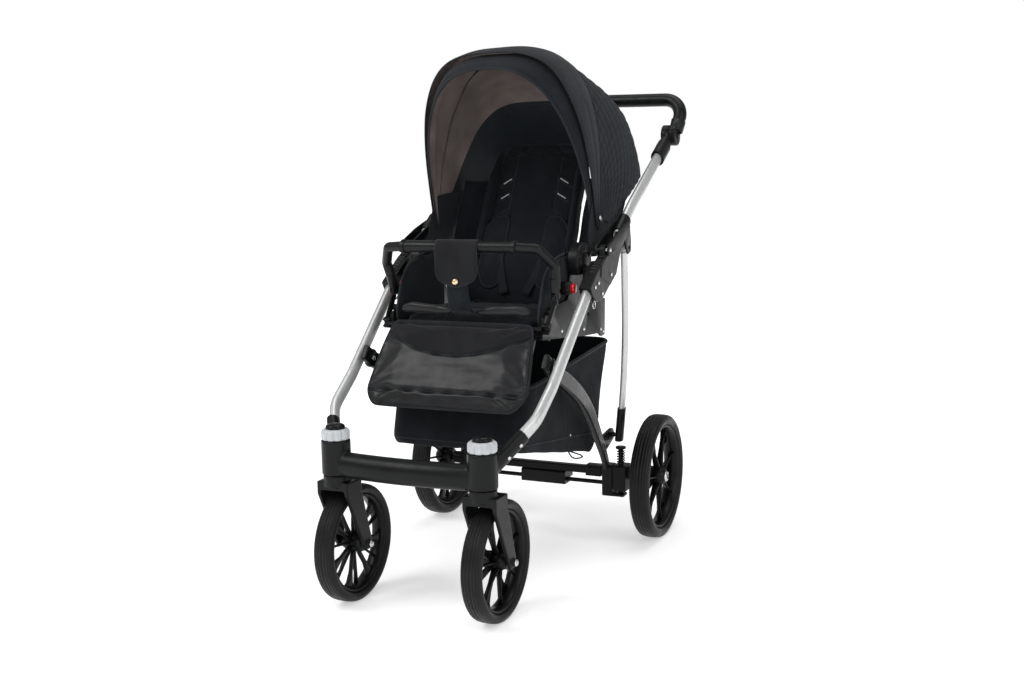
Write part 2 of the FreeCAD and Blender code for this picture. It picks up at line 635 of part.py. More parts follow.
def make_backrest():
    board_line = [along_back(0, 40), along_back(0, 49), along_back(425, 49), along_back(425, 40)]
    board = side_plate(board_line, -158.0, 158.0)
    hinge = fuse(rod_x(-171.0, 171.0, *RECLINE_AXIS, 4.6),
                 side_plate([(RECLINE_AXIS[0], RECLINE_AXIS[1] - 5), along_back(-2, 49), along_back(12, 49),
                             along_back(12, 38), (RECLINE_AXIS[0], RECLINE_AXIS[1] + 5)], -150.0, 150.0))
    ends = rod_x(-178.0, 178.0, *RECLINE_AXIS, 4.6)
    post = side_plate([along_back(165, 40), along_back(165, 49), along_back(190, 49), along_back(190, 40)], 157, 185)
    arm = side_plate([along_back(165, 40), along_back(165, 49), along_back(192, 49), (156, 729), (142, 727),
                      (137, 717), (142, 707)], 180.0, 185.4)
    body = fuse(board, hinge, ends, post, arm, mirrored(post), mirrored(arm))
    add("backrest_frame", body)
    pad = side_plate([along_back(16, 38), along_back(16, 4), along_back(60, 0), along_back(420, 4),
                      along_back(430, 30), along_back(424, 39.6)], -158.0, 158.0)
    pad = pad.cut(block(-400, 400, 0, 131, 540, 600))
    add("backrest_pad", pad)
    straps = []
    for s in (-1, 1):
        outline = [along_back(70, -14), along_back(70, -1.2), along_back(226, -1.2), along_back(226, -10)]
        straps.append(side_plate(outline, min(s * 32, s * 84), max(s * 32, s * 84)))
    add("harness_pads", group(straps))


def make_legrest():
    a = math.radians(LEGREST_TILT)
    y0, z0 = LEGREST_AXIS

    def at(down, front):
        """Down the legrest from its hinge, and in front of the hinge line."""
        return (y0 - down * math.sin(a) - front * math.cos(a), z0 - down * math.cos(a) + front * math.sin(a))
    board = side_plate([at(10, -11), at(10, -3), at(158, -3), at(158, -11)], -166.0, 166.0)
    pin = fuse(rod_x(-178.0, 178.0, y0, z0, 4.6),
               side_plate([at(-4, -3), at(-4, 3), at(14, -3.5), at(14, -10)], -150.0, 150.0))
    board = fuse(board, pin)
    add("legrest_board", board)
    inner = [(16, 170.0), (90, 178.0), (186, 190.0)]
    wires = []
    for down, half in inner:
        corners = [at(down, -2.6), at(down, 20 if down < 180 else 16)]
        (ya, za), (yb, zb) = corners
        wires.append(Part.makePolygon([V(-half, ya, za), V(-half, yb, zb), V(half, yb, zb), V(half, ya, za),
                                       V(-half, ya, za)]))
    pad = Part.makeLoft(wires, True, True)
    top_roll = side_plate([at(6, -1), at(2, 8), at(4, 18), at(16, 20), at(16, -1)], -150.0, 150.0)
    pad = fuse(pad, top_roll).cut(rod_x(-200, 200, y0, z0, 6.5)).cut(board)
    add("legrest_pad", pad)


# ---------------------------------------------------------------- bumper bar
BAR_CENTRE = (-134.0, 711.0)


def make_bumper_bar():
    yb, zb = BAR_CENTRE
    grip = rod_x(-129.0, 129.0, yb, zb, 12.5)
    rings = [rod_x(-131.0, -124.0, yb, zb, 14.5), rod_x(124.0, 131.0, yb, zb, 14.5)]
    parts = [grip] + rings
    for s in (-1, 1):
        parts.append(round_tube([V(s * 126, yb, zb), V(s * 172, -124, 708), V(s * 196, -92, 672),
                                 V(s * 190.5, -76, 625)], 14.0, 10.5))
        leg = straight_oval(V(s * 191.5, -82.5, 646.0), V(s * 189.0, -72.5, 604.0), 8.5, 13.5)
        parts.append(leg)
    bar = parts[0].multiFuse(parts[1:]).removeSplitter()
    for s in (-1, 1):
        bar = bar.cut(straight_oval(V(s * 190.3, -74.0, 587.0), V(s * 190.3, -79.2, 617.5), 5.2, 10.8))
    add("bumper_bar", bar)


def make_crotch_flap():
    yb, zb = BAR_CENTRE
    half = 47.0
    saddle = ring_x(-half, half, yb, zb, 16.2, 12.6)
    saddle = saddle.cut(side_plate([(yb - 13, zb - 40), (yb + 40, zb - 40), (yb + 40, zb - 1), (yb + 13, zb - 1)],
                                   -half - 1, half + 1))
    apron = side_plate([(yb - 16.2, zb), (yb - 12.8, zb), (yb - 8.5, zb - 74), (yb - 12.0, zb - 74)], -half, half)
    lower = side_plate([(yb - 20, zb - 80), (yb - 5, zb - 80), (yb - 5, zb - 46), (yb - 20, zb - 46)], -60, 60)
    round_end = Part.makeCylinder(half, 60, V(0, yb - 40, zb - 28), Y_AXIS)
    apron = apron.cut(lower.cut(round_end))
    snap = rod(V(0, yb - 15.2, zb - 58.0), V(0, yb - 11.0, zb - 58.0), 6.5)
    add("crotch_flap", group([fuse(saddle, apron), snap.cut(apron)]))


# ---------------------------------------------------------------- hood
def hood_rib(angle, radius, half, power, steps=18):
    """One arch of the hood in the plane that holds the hood axis, as a list of points."""
    y0, z0 = HOOD_AXIS
    a = math.radians(angle)
    points = []
    for i in range(steps + 1):
        t = math.pi * i / steps
        c, s = math.cos(t), max(math.sin(t), 0.0)
        x = half * math.copysign(abs(c) ** (2.0 / power), c)
        r = radius * s ** (2.0 / power)
        points.append(V(x, y0 + r * math.cos(a), z0 + r * math.sin(a)))
    return points


def arch_ring(angle, radius, half, power, wall, foot):
    """A closed band outline: outer arch, foot, inner arch, foot."""
    outer = [p for p in hood_rib(angle, radius, half, power) if distance_up(p, angle) > foot]
    inner = [p for p in hood_rib(angle, radius - wall, half - wall, power) if distance_up(p, angle) > foot]
    first = Part.BSplineCurve()
    first.interpolate(feet(outer, angle, half, foot))
    second = Part.BSplineCurve()
    second.interpolate(list(reversed(feet(inner, angle, half - wall, foot))))
    a, b = first.toShape(), second.toShape()
    joins = [Part.LineSegment(first.EndPoint, second.StartPoint).toShape(),
             Part.LineSegment(second.EndPoint, first.StartPoint).toShape()]
    return Part.Wire([a, joins[0], b, joins[1]])


def distance_up(point, angle):
    a = math.radians(angle)
    return (point.y - HOOD_AXIS[0]) * math.cos(a) + (point.z - HOOD_AXIS[1]) * math.sin(a)


def feet(points, angle, half, foot):
    a = math.radians(angle)
    y = HOOD_AXIS[0] + foot * math.cos(a)
    z = HOOD_AXIS[1] + foot * math.sin(a)
    return [V(half, y, z)] + points + [V(-half, y, z)]


def revolved_hood(angle0, angle1, radius, half, power, wall, foot):
    wire = arch_ring(angle0, radius, half, power, wall, foot)
    face = Part.Face(wire)
    # a positive turn about +X carries the back of the hood up and over to the front
    return face.revolve(V(0, *HOOD_AXIS), X_AXIS, angle1 - angle0)


HOOD_WALL = 4.0
REAR_RIBS = [(84.0, 5.0, 3.1), (66.0, 5.0, 3.6), (48.0, 6.0, 4.8), (34.0, 4.0, 6.0), (22.0, -4.0, 7.5)]


def make_hood():
    front = revolved_hood(80.0, 105.0, HOOD_R - 3.2, HOOD_HALF - 6.6, 3.1, HOOD_WALL, 16.0)
    add("hood_front", front)
    visor = revolved_hood(98.0, 111.5, HOOD_R - 9.8, HOOD_HALF - 11.6, 3.0, 3.0, 16.0)
    add("hood_visor", visor)
    wires = [arch_ring(angle, HOOD_R + extra, HOOD_HALF, power, HOOD_WALL, 16.0) for angle, extra, power in REAR_RIBS]
    add("hood_rear", Part.makeLoft(wires, True, False))


# ---------------------------------------------------------------- assembly
def build():
    make_caster_forks()
    make_front_wheels()
    make_rear_wheels()
    make_front_casting()
    caps = make_lock_rings()
    make_front_tubes()
    make_hinge_housings()
    make_frame_fasteners(caps)
    make_handle_tubes()
    make_handle_collars()
    make_fold_sliders()
    make_handle_joints()
    make_grip()
    make_rear_legs()
    make_arch_links()
    make_rear_axle()
    make_suspension()
    make_brake()
    make_basket()
    make_seat_frame()
    make_seat_joints()
    make_release_buttons()
    make_seat_pad()
    make_side_panels()
    make_crotch_strap()
    make_backrest()
    make_legrest()
    make_bumper_bar()
    make_crotch_flap()
    make_hood()


def save():
    os.makedirs("parts", exist_ok=True)
    for old in os.listdir("parts"):
        if old.endswith(".step"):
            os.remove(os.path.join("parts", old))
    shift = V(0, ORIGIN_SHIFT_Y, 0)
    for name, shape in NODES.items():
        shape.translated(shift).exportStep(os.path.join("parts", name + ".step"))


if __name__ == "__main__":
    build()
    save()
    for name, shape in NODES.items():
        box = shape.BoundBox
        print("%-26s solids %d valid %s  y %.0f..%.0f z %.0f..%.0f x %.0f..%.0f vol %.0f" % (
            name, len(shape.Solids), shape.isValid(), box.YMin, box.YMax, box.ZMin, box.ZMax, box.XMin, box.XMax,
            shape.Volume))
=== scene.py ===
"""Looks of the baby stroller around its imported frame: metres, +Z up, the child faces -Y, +X is its left."""
import json
import math

import bmesh
import bpy
import numpy as np
from mathutils import Matrix, Vector, noise

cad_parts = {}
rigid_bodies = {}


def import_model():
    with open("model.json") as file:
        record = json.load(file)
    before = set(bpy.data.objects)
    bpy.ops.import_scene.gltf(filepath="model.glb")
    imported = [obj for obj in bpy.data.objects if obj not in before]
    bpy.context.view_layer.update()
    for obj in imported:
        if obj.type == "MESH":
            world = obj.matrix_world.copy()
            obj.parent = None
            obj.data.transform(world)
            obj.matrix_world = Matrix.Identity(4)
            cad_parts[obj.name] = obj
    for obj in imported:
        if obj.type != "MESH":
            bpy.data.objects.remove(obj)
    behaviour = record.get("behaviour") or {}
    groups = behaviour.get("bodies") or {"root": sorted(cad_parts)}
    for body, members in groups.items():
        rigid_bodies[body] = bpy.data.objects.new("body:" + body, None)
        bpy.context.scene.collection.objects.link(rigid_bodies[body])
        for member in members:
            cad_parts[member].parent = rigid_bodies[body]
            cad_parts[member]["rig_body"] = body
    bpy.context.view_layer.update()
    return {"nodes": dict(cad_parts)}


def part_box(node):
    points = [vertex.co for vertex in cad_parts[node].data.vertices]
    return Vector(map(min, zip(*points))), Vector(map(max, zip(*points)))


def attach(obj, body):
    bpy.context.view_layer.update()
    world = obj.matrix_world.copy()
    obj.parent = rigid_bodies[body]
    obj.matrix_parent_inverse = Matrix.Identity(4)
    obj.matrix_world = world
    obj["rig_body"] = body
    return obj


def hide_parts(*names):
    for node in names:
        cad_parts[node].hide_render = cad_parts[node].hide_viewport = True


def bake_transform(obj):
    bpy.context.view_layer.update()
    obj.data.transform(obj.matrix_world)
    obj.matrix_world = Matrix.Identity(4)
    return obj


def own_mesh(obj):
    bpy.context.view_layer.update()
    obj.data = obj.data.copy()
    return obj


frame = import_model()
SIDES = (("left", 1.0), ("right", -1.0))


def centre_of(node):
    low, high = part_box(node)
    return (low + high) / 2


MID_Y = (centre_of("tyre_front_left").y + centre_of("tyre_rear_left").y) / 2


def at(x, y, z):
    """A point in millimetres, with y measured from midway between the axles, as metres in the frame."""
    return Vector((x / 1000.0, MID_Y + y / 1000.0, z / 1000.0))


# ---------------------------------------------------------------- materials
class Surface:
    """A Principled material whose colour, roughness and bump vary over the surface in object space."""

    def __init__(self, name, colour, roughness, **sockets):
        self.material = bpy.data.materials.new(name)
        self.material.use_nodes = True
        self.material.diffuse_color = (*colour, 1.0)
        self.nodes = self.material.node_tree.nodes
        self.links = self.material.node_tree.links
        self.shader = self.nodes["Principled BSDF"]
        self.coords = self.nodes.new("ShaderNodeTexCoord").outputs["Object"]
        self.shader.inputs["Base Color"].default_value = (*colour, 1.0)
        self.shader.inputs["Roughness"].default_value = roughness
        for socket, value in sockets.items():
            self.shader.inputs[socket.replace("_", " ")].default_value = value
        self.colour = colour
        self.roughness = roughness
        self.height = None

    def mapped(self, turn=(0, 0, 0), scale=(1, 1, 1)):
        mapping = self.nodes.new("ShaderNodeMapping")
        mapping.inputs["Rotation"].default_value = [math.radians(a) for a in turn]
        mapping.inputs["Scale"].default_value = scale
        self.links.new(self.coords, mapping.inputs["Vector"])
        return mapping.outputs["Vector"]

    def noise(self, scale, detail=3.0, vector=None):
        texture = self.nodes.new("ShaderNodeTexNoise")
        texture.inputs["Scale"].default_value = scale
        texture.inputs["Detail"].default_value = detail
        self.links.new(vector or self.coords, texture.inputs["Vector"])
        return texture.outputs["Fac"]

    def wave(self, period, turn):
        texture = self.nodes.new("ShaderNodeTexWave")
        texture.inputs["Scale"].default_value = 2 * math.pi / (20 * period)
        texture.inputs["Distortion"].default_value = 0.6
        self.links.new(self.mapped(turn), texture.inputs["Vector"])
        return texture.outputs["Fac"]

    def voronoi(self, scale):
        texture = self.nodes.new("ShaderNodeTexVoronoi")
        texture.feature = "DISTANCE_TO_EDGE"
        texture.inputs["Scale"].default_value = scale
        self.links.new(self.coords, texture.inputs["Vector"])
        return texture.outputs["Distance"]

    def math(self, kind, a, b):
        node = self.nodes.new("ShaderNodeMath")
        node.operation = kind
        for socket, value in zip(node.inputs, (a, b)):
            if isinstance(value, (int, float)):
                socket.default_value = value
            else:
                self.links.new(value, socket)
        return node.outputs[0]

    def tint(self, fac, dark, light):
        """Base colour between dark and light shares of the material's own colour."""
        ramp = self.nodes.new("ShaderNodeValToRGB")
        ramp.color_ramp.elements[0].position = 0.3
        ramp.color_ramp.elements[1].position = 0.7
        ramp.color_ramp.elements[0].color = (*[c * dark for c in self.colour], 1.0)
        ramp.color_ramp.elements[1].color = (*[min(1.0, c * light) for c in self.colour], 1.0)
        self.links.new(fac, ramp.inputs["Fac"])
        self.links.new(ramp.outputs["Color"], self.shader.inputs["Base Color"])
        self.ramp = ramp
        return self

    def worn(self, amount):
        """Slightly lighter colour along convex edges."""
        geometry = self.nodes.new("ShaderNodeNewGeometry")
        edge = self.nodes.new("ShaderNodeMapRange")
        edge.inputs["From Min"].default_value = 0.52
        edge.inputs["From Max"].default_value = 0.64
        edge.inputs["To Max"].default_value = amount
        self.links.new(geometry.outputs["Pointiness"], edge.inputs["Value"])
        mix = self.nodes.new("ShaderNodeMix")
        mix.data_type = "RGBA"
        mix.inputs[7].default_value = (*[min(1.0, c * 2 + 0.01) for c in self.colour], 1.0)
        self.links.new(edge.outputs["Result"], mix.inputs[0])
        self.links.new(self.ramp.outputs["Color"], mix.inputs[6])
        self.links.new(mix.outputs[2], self.shader.inputs["Base Color"])
        return self

    def gloss(self, fac, spread):
        """Roughness that drifts by the given spread about its mean."""
        drift = self.nodes.new("ShaderNodeMapRange")
        drift.inputs["From Min"].default_value = 0.3
        drift.inputs["From Max"].default_value = 0.7
        drift.inputs["To Min"].default_value = max(0.02, self.roughness - spread)
        drift.inputs["To Max"].default_value = min(1.0, self.roughness + spread)
        self.links.new(fac, drift.inputs["Value"])
        self.links.new(drift.outputs["Result"], self.shader.inputs["Roughness"])
        return self

    def relief(self, fac, depth, strength=1.0):
        """One more layer of bump, `depth` metres deep."""
        bump = self.nodes.new("ShaderNodeBump")
        bump.inputs["Distance"].default_value = depth
        bump.inputs["Strength"].default_value = strength
        self.links.new(fac, bump.inputs["Height"])
        if self.height is not None:
            self.links.new(self.height, bump.inputs["Normal"])
        self.height = bump.outputs["Normal"]
        self.links.new(self.height, self.shader.inputs["Normal"])
        return self


def cloth(name, colour, roughness=0.85, weave=0.0009, sheen=0.25, depth=0.00016):
    s = Surface(name, colour, roughness, Sheen_Weight=sheen * 0.3, Sheen_Roughness=0.45, Specular_IOR_Level=0.07)
    threads = s.math("MULTIPLY", s.wave(weave, (35, 20, 45)), s.wave(weave, (-40, 30, -50)))
    s.tint(s.math("ADD", s.math("MULTIPLY", s.noise(14.0), 0.75), s.math("MULTIPLY", threads, 0.3)), 0.75, 1.45)
    s.gloss(s.noise(30.0), 0.06)
    s.relief(threads, depth)
    return s.relief(s.noise(45.0, 4.0), 0.0006, 0.5)


def moulded_plastic(name, colour, roughness, grain=900.0, depth=0.00005, edge=0.35):
    s = Surface(name, colour, roughness, Specular_IOR_Level=0.15)
    s.tint(s.noise(22.0, 4.0), 0.85, 1.2).worn(edge)
    s.gloss(s.noise(60.0, 5.0), 0.05)
    return s.relief(s.noise(grain, 2.0), depth)


def make_materials():
    m = {}
    s = Surface("satin_aluminium", (0.52, 0.53, 0.525), 0.36, Metallic=0.5)
    along = s.mapped((0, 0, 0), (1.0, 0.12, 0.12))
    s.tint(s.noise(700.0, 3.0, along), 0.9, 1.06).gloss(s.noise(25.0, 5.0), 0.06)
    m["tube"] = s.relief(s.noise(1500.0, 2.0, along), 0.000012)
    m["plastic"] = moulded_plastic("black_plastic", (0.0052, 0.0055, 0.006), 0.36)
    m["gloss_plastic"] = moulded_plastic("gloss_black_plastic", (0.0035, 0.0037, 0.004), 0.27, 1400.0, 0.00002, 0.15)
    m["rim"] = moulded_plastic("rim_plastic", (0.0045, 0.0048, 0.0052), 0.32, 1100.0, 0.00003, 0.2)
    s = Surface("tyre_rubber", (0.0055, 0.0057, 0.006), 0.42, Specular_IOR_Level=0.17)
    s.tint(s.noise(18.0, 5.0), 0.75, 1.5).worn(0.2).gloss(s.noise(40.0, 6.0), 0.1)
    m["tyre"] = s.relief(s.noise(420.0, 4.0), 0.00012)
    s = Surface("zinc_steel", (0.62, 0.62, 0.61), 0.3, Metallic=1.0)
    s.tint(s.noise(260.0, 3.0), 0.8, 1.1).gloss(s.noise(90.0, 5.0), 0.08)
    m["steel"] = s.relief(s.noise(1200.0), 0.00002)
    s = Surface("black_powder_coat", (0.0045, 0.0047, 0.005), 0.38, Specular_IOR_Level=0.13)
    s.tint(s.noise(30.0), 0.8, 1.25).worn(0.3).gloss(s.noise(50.0), 0.05)
    m["black_steel"] = s.relief(s.noise(650.0), 0.00006)
    s = Surface("grip_skin", (0.005, 0.0053, 0.0058), 0.34, Specular_IOR_Level=0.18)
    s.tint(s.noise(26.0), 0.8, 1.35).gloss(s.noise(80.0), 0.07)
    m["grip"] = s.relief(s.voronoi(520.0), 0.00022, 0.6)
    s = Surface("knob_grey", (0.43, 0.45, 0.47), 0.38, Specular_IOR_Level=0.5)
    s.tint(s.noise(40.0), 0.9, 1.12).gloss(s.noise(70.0), 0.05)
    m["knob_grey"] = s.relief(s.noise(900.0), 0.00003)
    s = Surface("red_gloss", (0.62, 0.012, 0.014), 0.25, Coat_Weight=0.4)
    m["red"] = s.tint(s.noise(60.0), 0.9, 1.08).relief(s.noise(1500.0), 0.00002)
    s = Surface("brass_snap", (0.72, 0.55, 0.33), 0.28, Metallic=1.0)
    m["brass"] = s.tint(s.noise(200.0), 0.85, 1.1).relief(s.noise(900.0), 0.00003)
    m["fabric"] = cloth("hood_fabric", (0.0105, 0.0125, 0.0155))
    m["quilt"] = cloth("quilted_fabric", (0.0085, 0.0115, 0.0145), 0.8, 0.0009, 0.2)
    m["seat_fabric"] = cloth("seat_fabric", (0.0095, 0.0115, 0.014), 0.85, 0.0011, 0.2)
    m["mesh_fabric"] = cloth("basket_fabric", (0.008, 0.0095, 0.0115), 0.8, 0.0013, 0.15, 0.00025)
    m["piping"] = cloth("piping", (0.016, 0.0175, 0.02), 0.6, 0.0007, 0.2, 0.00012)
    m["webbing"] = cloth("webbing", (0.012, 0.013, 0.015), 0.6, 0.0016, 0.2, 0.0004)
    m["thread"] = cloth("thread", (0.03, 0.032, 0.036), 0.5, 0.0008, 0.3)
    m["lining"] = cloth("hood_lining", (0.135, 0.108, 0.099), 0.9, 0.001, 0.2)
    m["suede"] = cloth("legrest_fabric", (0.0125, 0.0127, 0.0145), 0.9, 0.001, 0.3)
    s = Surface("leatherette", (0.0095, 0.0098, 0.0108), 0.36, Specular_IOR_Level=0.22, Sheen_Weight=0.02)
    s.tint(s.noise(16.0, 4.0), 0.85, 1.25).gloss(s.noise(35.0, 4.0), 0.05)
    m["leatherette"] = s.relief(s.voronoi(900.0), 0.00010, 0.7).relief(s.noise(26.0, 2.0), 0.0012, 0.5)
    return {name: s.material for name, s in m.items()}


MAT = make_materials()


# ---------------------------------------------------------------- mesh tools
def new_object(name, vertices, faces, materials, face_slots=None, smooth=True):
    mesh = bpy.data.meshes.new(name)
    mesh.from_pydata([tuple(v) for v in vertices], [], faces)
    for material in materials:
        mesh.materials.append(MAT[material])
    if face_slots is not None:
        mesh.polygons.foreach_set("material_index", face_slots)
    mesh.polygons.foreach_set("use_smooth", [smooth] * len(mesh.polygons))
    mesh.update()
    obj = bpy.data.objects.new(name, mesh)
    bpy.context.scene.collection.objects.link(obj)
    return obj


def grid_faces(rows, columns, start=0, wrap=False, flip=False):
    faces = []
    for i in range(rows - 1):
        for j in range(columns if wrap else columns - 1):
            k = (j + 1) % columns
            a, b = start + i * columns + j, start + i * columns + k
            c, d = a + columns, b + columns
            faces.append((a, c, d, b) if flip else (a, b, d, c))
    return faces


def grid_normals(points):
    du = np.gradient(points, axis=0)
    dv = np.gradient(points, axis=1)
    n = np.cross(du, dv)
    return n / np.maximum(np.linalg.norm(n, axis=2, keepdims=True), 1e-9)


def sheet_object(name, points, thickness, outer, inner, inner_rows=None, below=None):
    """A cloth sheet from a grid of points: its outer face on the points, its inner face `thickness` below."""
    rows, columns = points.shape[:2]
    if below is None:
        below = points - grid_normals(points) * thickness
    count = rows * columns
    vertices = np.concatenate([points.reshape(-1, 3), below.reshape(-1, 3)])
    top = grid_faces(rows, columns)
    bottom = grid_faces(rows, columns, count, flip=True)
    ring = [j for j in range(columns)] + [i * columns + columns - 1 for i in range(1, rows)]
    ring += [(rows - 1) * columns + j for j in range(columns - 2, -1, -1)] + [i * columns for i in range(rows - 2, 0, -1)]
    rim = [(b, a, a + count, b + count) for a, b in zip(ring, ring[1:] + ring[:1])]
    per_row = columns - 1
    lined = [1 if inner_rows is None or k // per_row >= inner_rows else 0 for k in range(len(bottom))]
    slots = [0] * len(top) + lined + [0] * len(rim)
    return new_object(name, vertices, top + bottom + rim, (outer, inner), slots)


def tube_object(name, points, radius, material, closed=False, order=4, sides=3, radii=None):
    """A smooth round tube that follows the points."""
    curve = bpy.data.curves.new(name, "CURVE")
    curve.dimensions = "3D"
    curve.bevel_depth = radius
    curve.bevel_resolution = sides
    curve.use_fill_caps = True
    spline = curve.splines.new("NURBS")
    spline.points.add(len(points) - 1)
    for i, p in enumerate(points):
        spline.points[i].co = (*p, 1.0)
        spline.points[i].radius = 1.0 if radii is None else radii[i]
    spline.use_cyclic_u = closed
    spline.use_endpoint_u = not closed
    spline.order_u = order
    spline.resolution_u = 4
    holder = bpy.data.objects.new(name, curve)
    bpy.context.scene.collection.objects.link(holder)
    bpy.context.view_layer.update()
    mesh = bpy.data.meshes.new_from_object(holder.evaluated_get(bpy.context.evaluated_depsgraph_get()))
    bpy.data.objects.remove(holder)
    mesh.materials.clear()
    mesh.materials.append(MAT[material])
    mesh.polygons.foreach_set("use_smooth", [True] * len(mesh.polygons))
    obj = bpy.data.objects.new(name, mesh)
    bpy.context.scene.collection.objects.link(obj)
    return obj


def lathe(name, profile, centre, axis, material, steps=64, closed=True, lobes=(0, 0.0)):
    """A turned piece: profile is a list of (along the axis, radius) in metres; lobes scallop its outside."""
    axis = Vector(axis).normalized()
    side = axis.orthogonal().normalized()
    up = axis.cross(side)
    vertices = []
    for k in range(steps):
        a = 2 * math.pi * k / steps
        ray = side * math.cos(a) + up * math.sin(a)
        dip = 1.0 - lobes[1] * max(0.0, math.cos(lobes[0] * a)) ** 2
        vertices += [Vector(centre) + axis * s + ray * (r * dip if r > 0.022 else r) for s, r in profile]
    n = len(profile)
    faces = []
    for k in range(steps):
        for i in range(n if closed else n - 1):
            j = (i + 1) % n
            p, q = k * n, ((k + 1) % steps) * n
            faces.append((p + i, p + j, q + j, q + i))
    obj = new_object(name, vertices, faces, (material,))
    recalculate(obj)
    return obj


def recalculate(obj):
    bm = bmesh.new()
    bm.from_mesh(obj.data)
    bmesh.ops.remove_doubles(bm, verts=bm.verts, dist=1e-6)
    bmesh.ops.recalc_face_normals(bm, faces=bm.faces)
    bm.to_mesh(obj.data)
    bm.free()


def joined(name, objects):
    """One object made of several, each keeping its materials."""
    first = objects[0]
    if len(objects) > 1:
        with bpy.context.temp_override(active_object=first, object=first, selected_objects=objects,
                                       selected_editable_objects=objects):
            bpy.ops.object.join()
    first.name = name
    first.data.name = name
    return first


def rounded_block(name, centre, size, material, bevel, turn=None, segments=3):
    """A box with rounded edges; turn is a rotation matrix about its centre."""
    bm = bmesh.new()
    bmesh.ops.create_cube(bm, size=1.0)
    bmesh.ops.scale(bm, vec=size, verts=bm.verts)
    bmesh.ops.bevel(bm, geom=bm.edges[:] + bm.verts[:], offset=bevel, segments=segments, profile=0.5,
                    affect="EDGES")
    if turn is not None:
        bmesh.ops.transform(bm, matrix=turn.to_4x4(), verts=bm.verts)
    bmesh.ops.translate(bm, vec=Vector(centre), verts=bm.verts)
    mesh = bpy.data.meshes.new(name)
    bm.to_mesh(mesh)
    bm.free()
    mesh.materials.append(MAT[material])
    mesh.polygons.foreach_set("use_smooth", [True] * len(mesh.polygons))
    obj = bpy.data.objects.new(name, mesh)
    bpy.context.scene.collection.objects.link(obj)
    return obj


def applied(obj, kind, **settings):
    """Adds a modifier and makes its result the object's own mesh."""
    modifier = obj.modifiers.new("step", kind)
    for key, value in settings.items():
        setattr(modifier, key, value)
    bpy.context.view_layer.update()
    mesh = bpy.data.meshes.new_from_object(obj.evaluated_get(bpy.context.evaluated_depsgraph_get()))
    obj.modifiers.clear()
    obj.data = mesh
    return obj


def smooth_faces(obj):
    obj.data.polygons.foreach_set("use_smooth", [True] * len(obj.data.polygons))
    return obj


def body_of_node(node):
    return frame["nodes"][node]["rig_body"]


def rivet(name, place, axis, radius, material="steel", height=0.0014):
    """A domed rivet head that stands on the surface at place."""
    dome = [(0.0, radius), (height * 0.35, radius * 0.96), (height * 0.8, radius * 0.7), (height, radius * 0.25),
            (height, 0.0), (-0.0012, 0.0), (-0.0012, radius)]
    return lathe(name, dome, place, axis, material, 20)


# ---------------------------------------------------------------- frame pieces
MOULDED = {
    "front_casting": (0.0019, 6, "plastic"), "caster_fork_left": (0.0014, 14, "plastic"),
    "caster_fork_right": (0.0014, 14, "plastic"), "hinge_housing_left": (0.0011, 3, "plastic"),
    "hinge_housing_right": (0.0011, 3, "plastic"), "wheel_carrier_left": (0.0014, 4, "plastic"),
    "wheel_carrier_right": (0.0014, 4, "plastic"), "suspension_brackets": (0.0014, 4, "plastic"),
    "brake_housing": (0.0014, 4, "plastic"), "arch_link_left": (0.0014, 4, "gloss_plastic"),
    "arch_link_right": (0.0014, 4, "gloss_plastic"), "seat_joint_discs": (0.0014, 4, "plastic"),
}
CAD_FINISH = {
    "front_tube": "tube", "handle_tube": "tube", "rear_leg": "tube", "handle_collar": "plastic",
    "fold_slider": "plastic", "handle_joints": "plastic", "grip_knuckles": "plastic", "grip_button": "gloss_plastic",
    "grip_bar": "grip", "bumper_bar": "grip", "leg_fittings": "plastic", "rear_beam": "black_steel", "brake_pedal": "plastic",
    "frame_fasteners": "steel", "seat_frame": "black_steel", "backrest_frame": "black_steel",
    "legrest_board": "black_steel", "release_button": "red",
    }


def make_moulded():
    """Moulded parts: the CAD shape with the soft, rounded edges of a casting."""
    for node, (voxel, rounds, material) in MOULDED.items():
        source = frame["nodes"][node]
        obj = bpy.data.objects.new(node + "_shell", source.data.copy())
        bpy.context.scene.collection.objects.link(obj)
        applied(obj, "WELD", merge_threshold=0.00002)
        applied(obj, "REMESH", mode="VOXEL", voxel_size=voxel)
        applied(obj, "SMOOTH", factor=0.5, iterations=rounds)
        obj.data.materials.clear()
        obj.data.materials.append(MAT[material])
        smooth_faces(obj)
        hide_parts(node)
        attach(obj, body_of_node(node))


def finish_cad_nodes():
    for name, obj in frame["nodes"].items():
        stem = name.replace("_left", "").replace("_right", "")
        material = CAD_FINISH.get(stem)
        if material is None:
            continue
        obj.data.materials.clear()
        obj.data.materials.append(MAT[material])
        if stem not in ("grip_bar", "bumper_bar"):
            weld = obj.modifiers.new("weld", "WELD")
            weld.merge_threshold = 0.00002
            bevel = obj.modifiers.new("edges", "BEVEL")
            bevel.width = 0.0006
            bevel.segments = 2
            bevel.limit_method = "ANGLE"
            bevel.angle_limit = math.radians(38)
            obj.data.polygons.foreach_set("use_smooth", [True] * len(obj.data.polygons))
            bevel.harden_normals = True


# ---------------------------------------------------------------- wheels
FINS = 7


def tyre_profile(radius, half):
    """(across, radius) points round a tyre with shoulder rings and three tread grooves."""
    section = []
    deep = radius * 0.175
    inner = [(-0.60, 1.0), (-0.84, 0.86), (-0.90, 0.80), (-0.90, 0.74), (-0.965, 0.66), (-1.0, 0.48), (-0.985, 0.40),
             (-0.965, 0.385), (-0.955, 0.33), (-0.90, 0.20), (-0.80, 0.105), (-0.66, 0.045), (-0.625, 0.042),
             (-0.60, 0.075), (-0.57, 0.075), (-0.545, 0.03), (-0.36, 0.006), (-0.335, 0.045), (-0.30, 0.045),
             (-0.275, 0.003), (-0.07, 0.0), (-0.045, 0.05), (0.0, 0.055)]
    for across, down in inner:
        section.append((across * half, radius - deep * down))
    return section + [(-s, r) for s, r in reversed(section[:-1])]


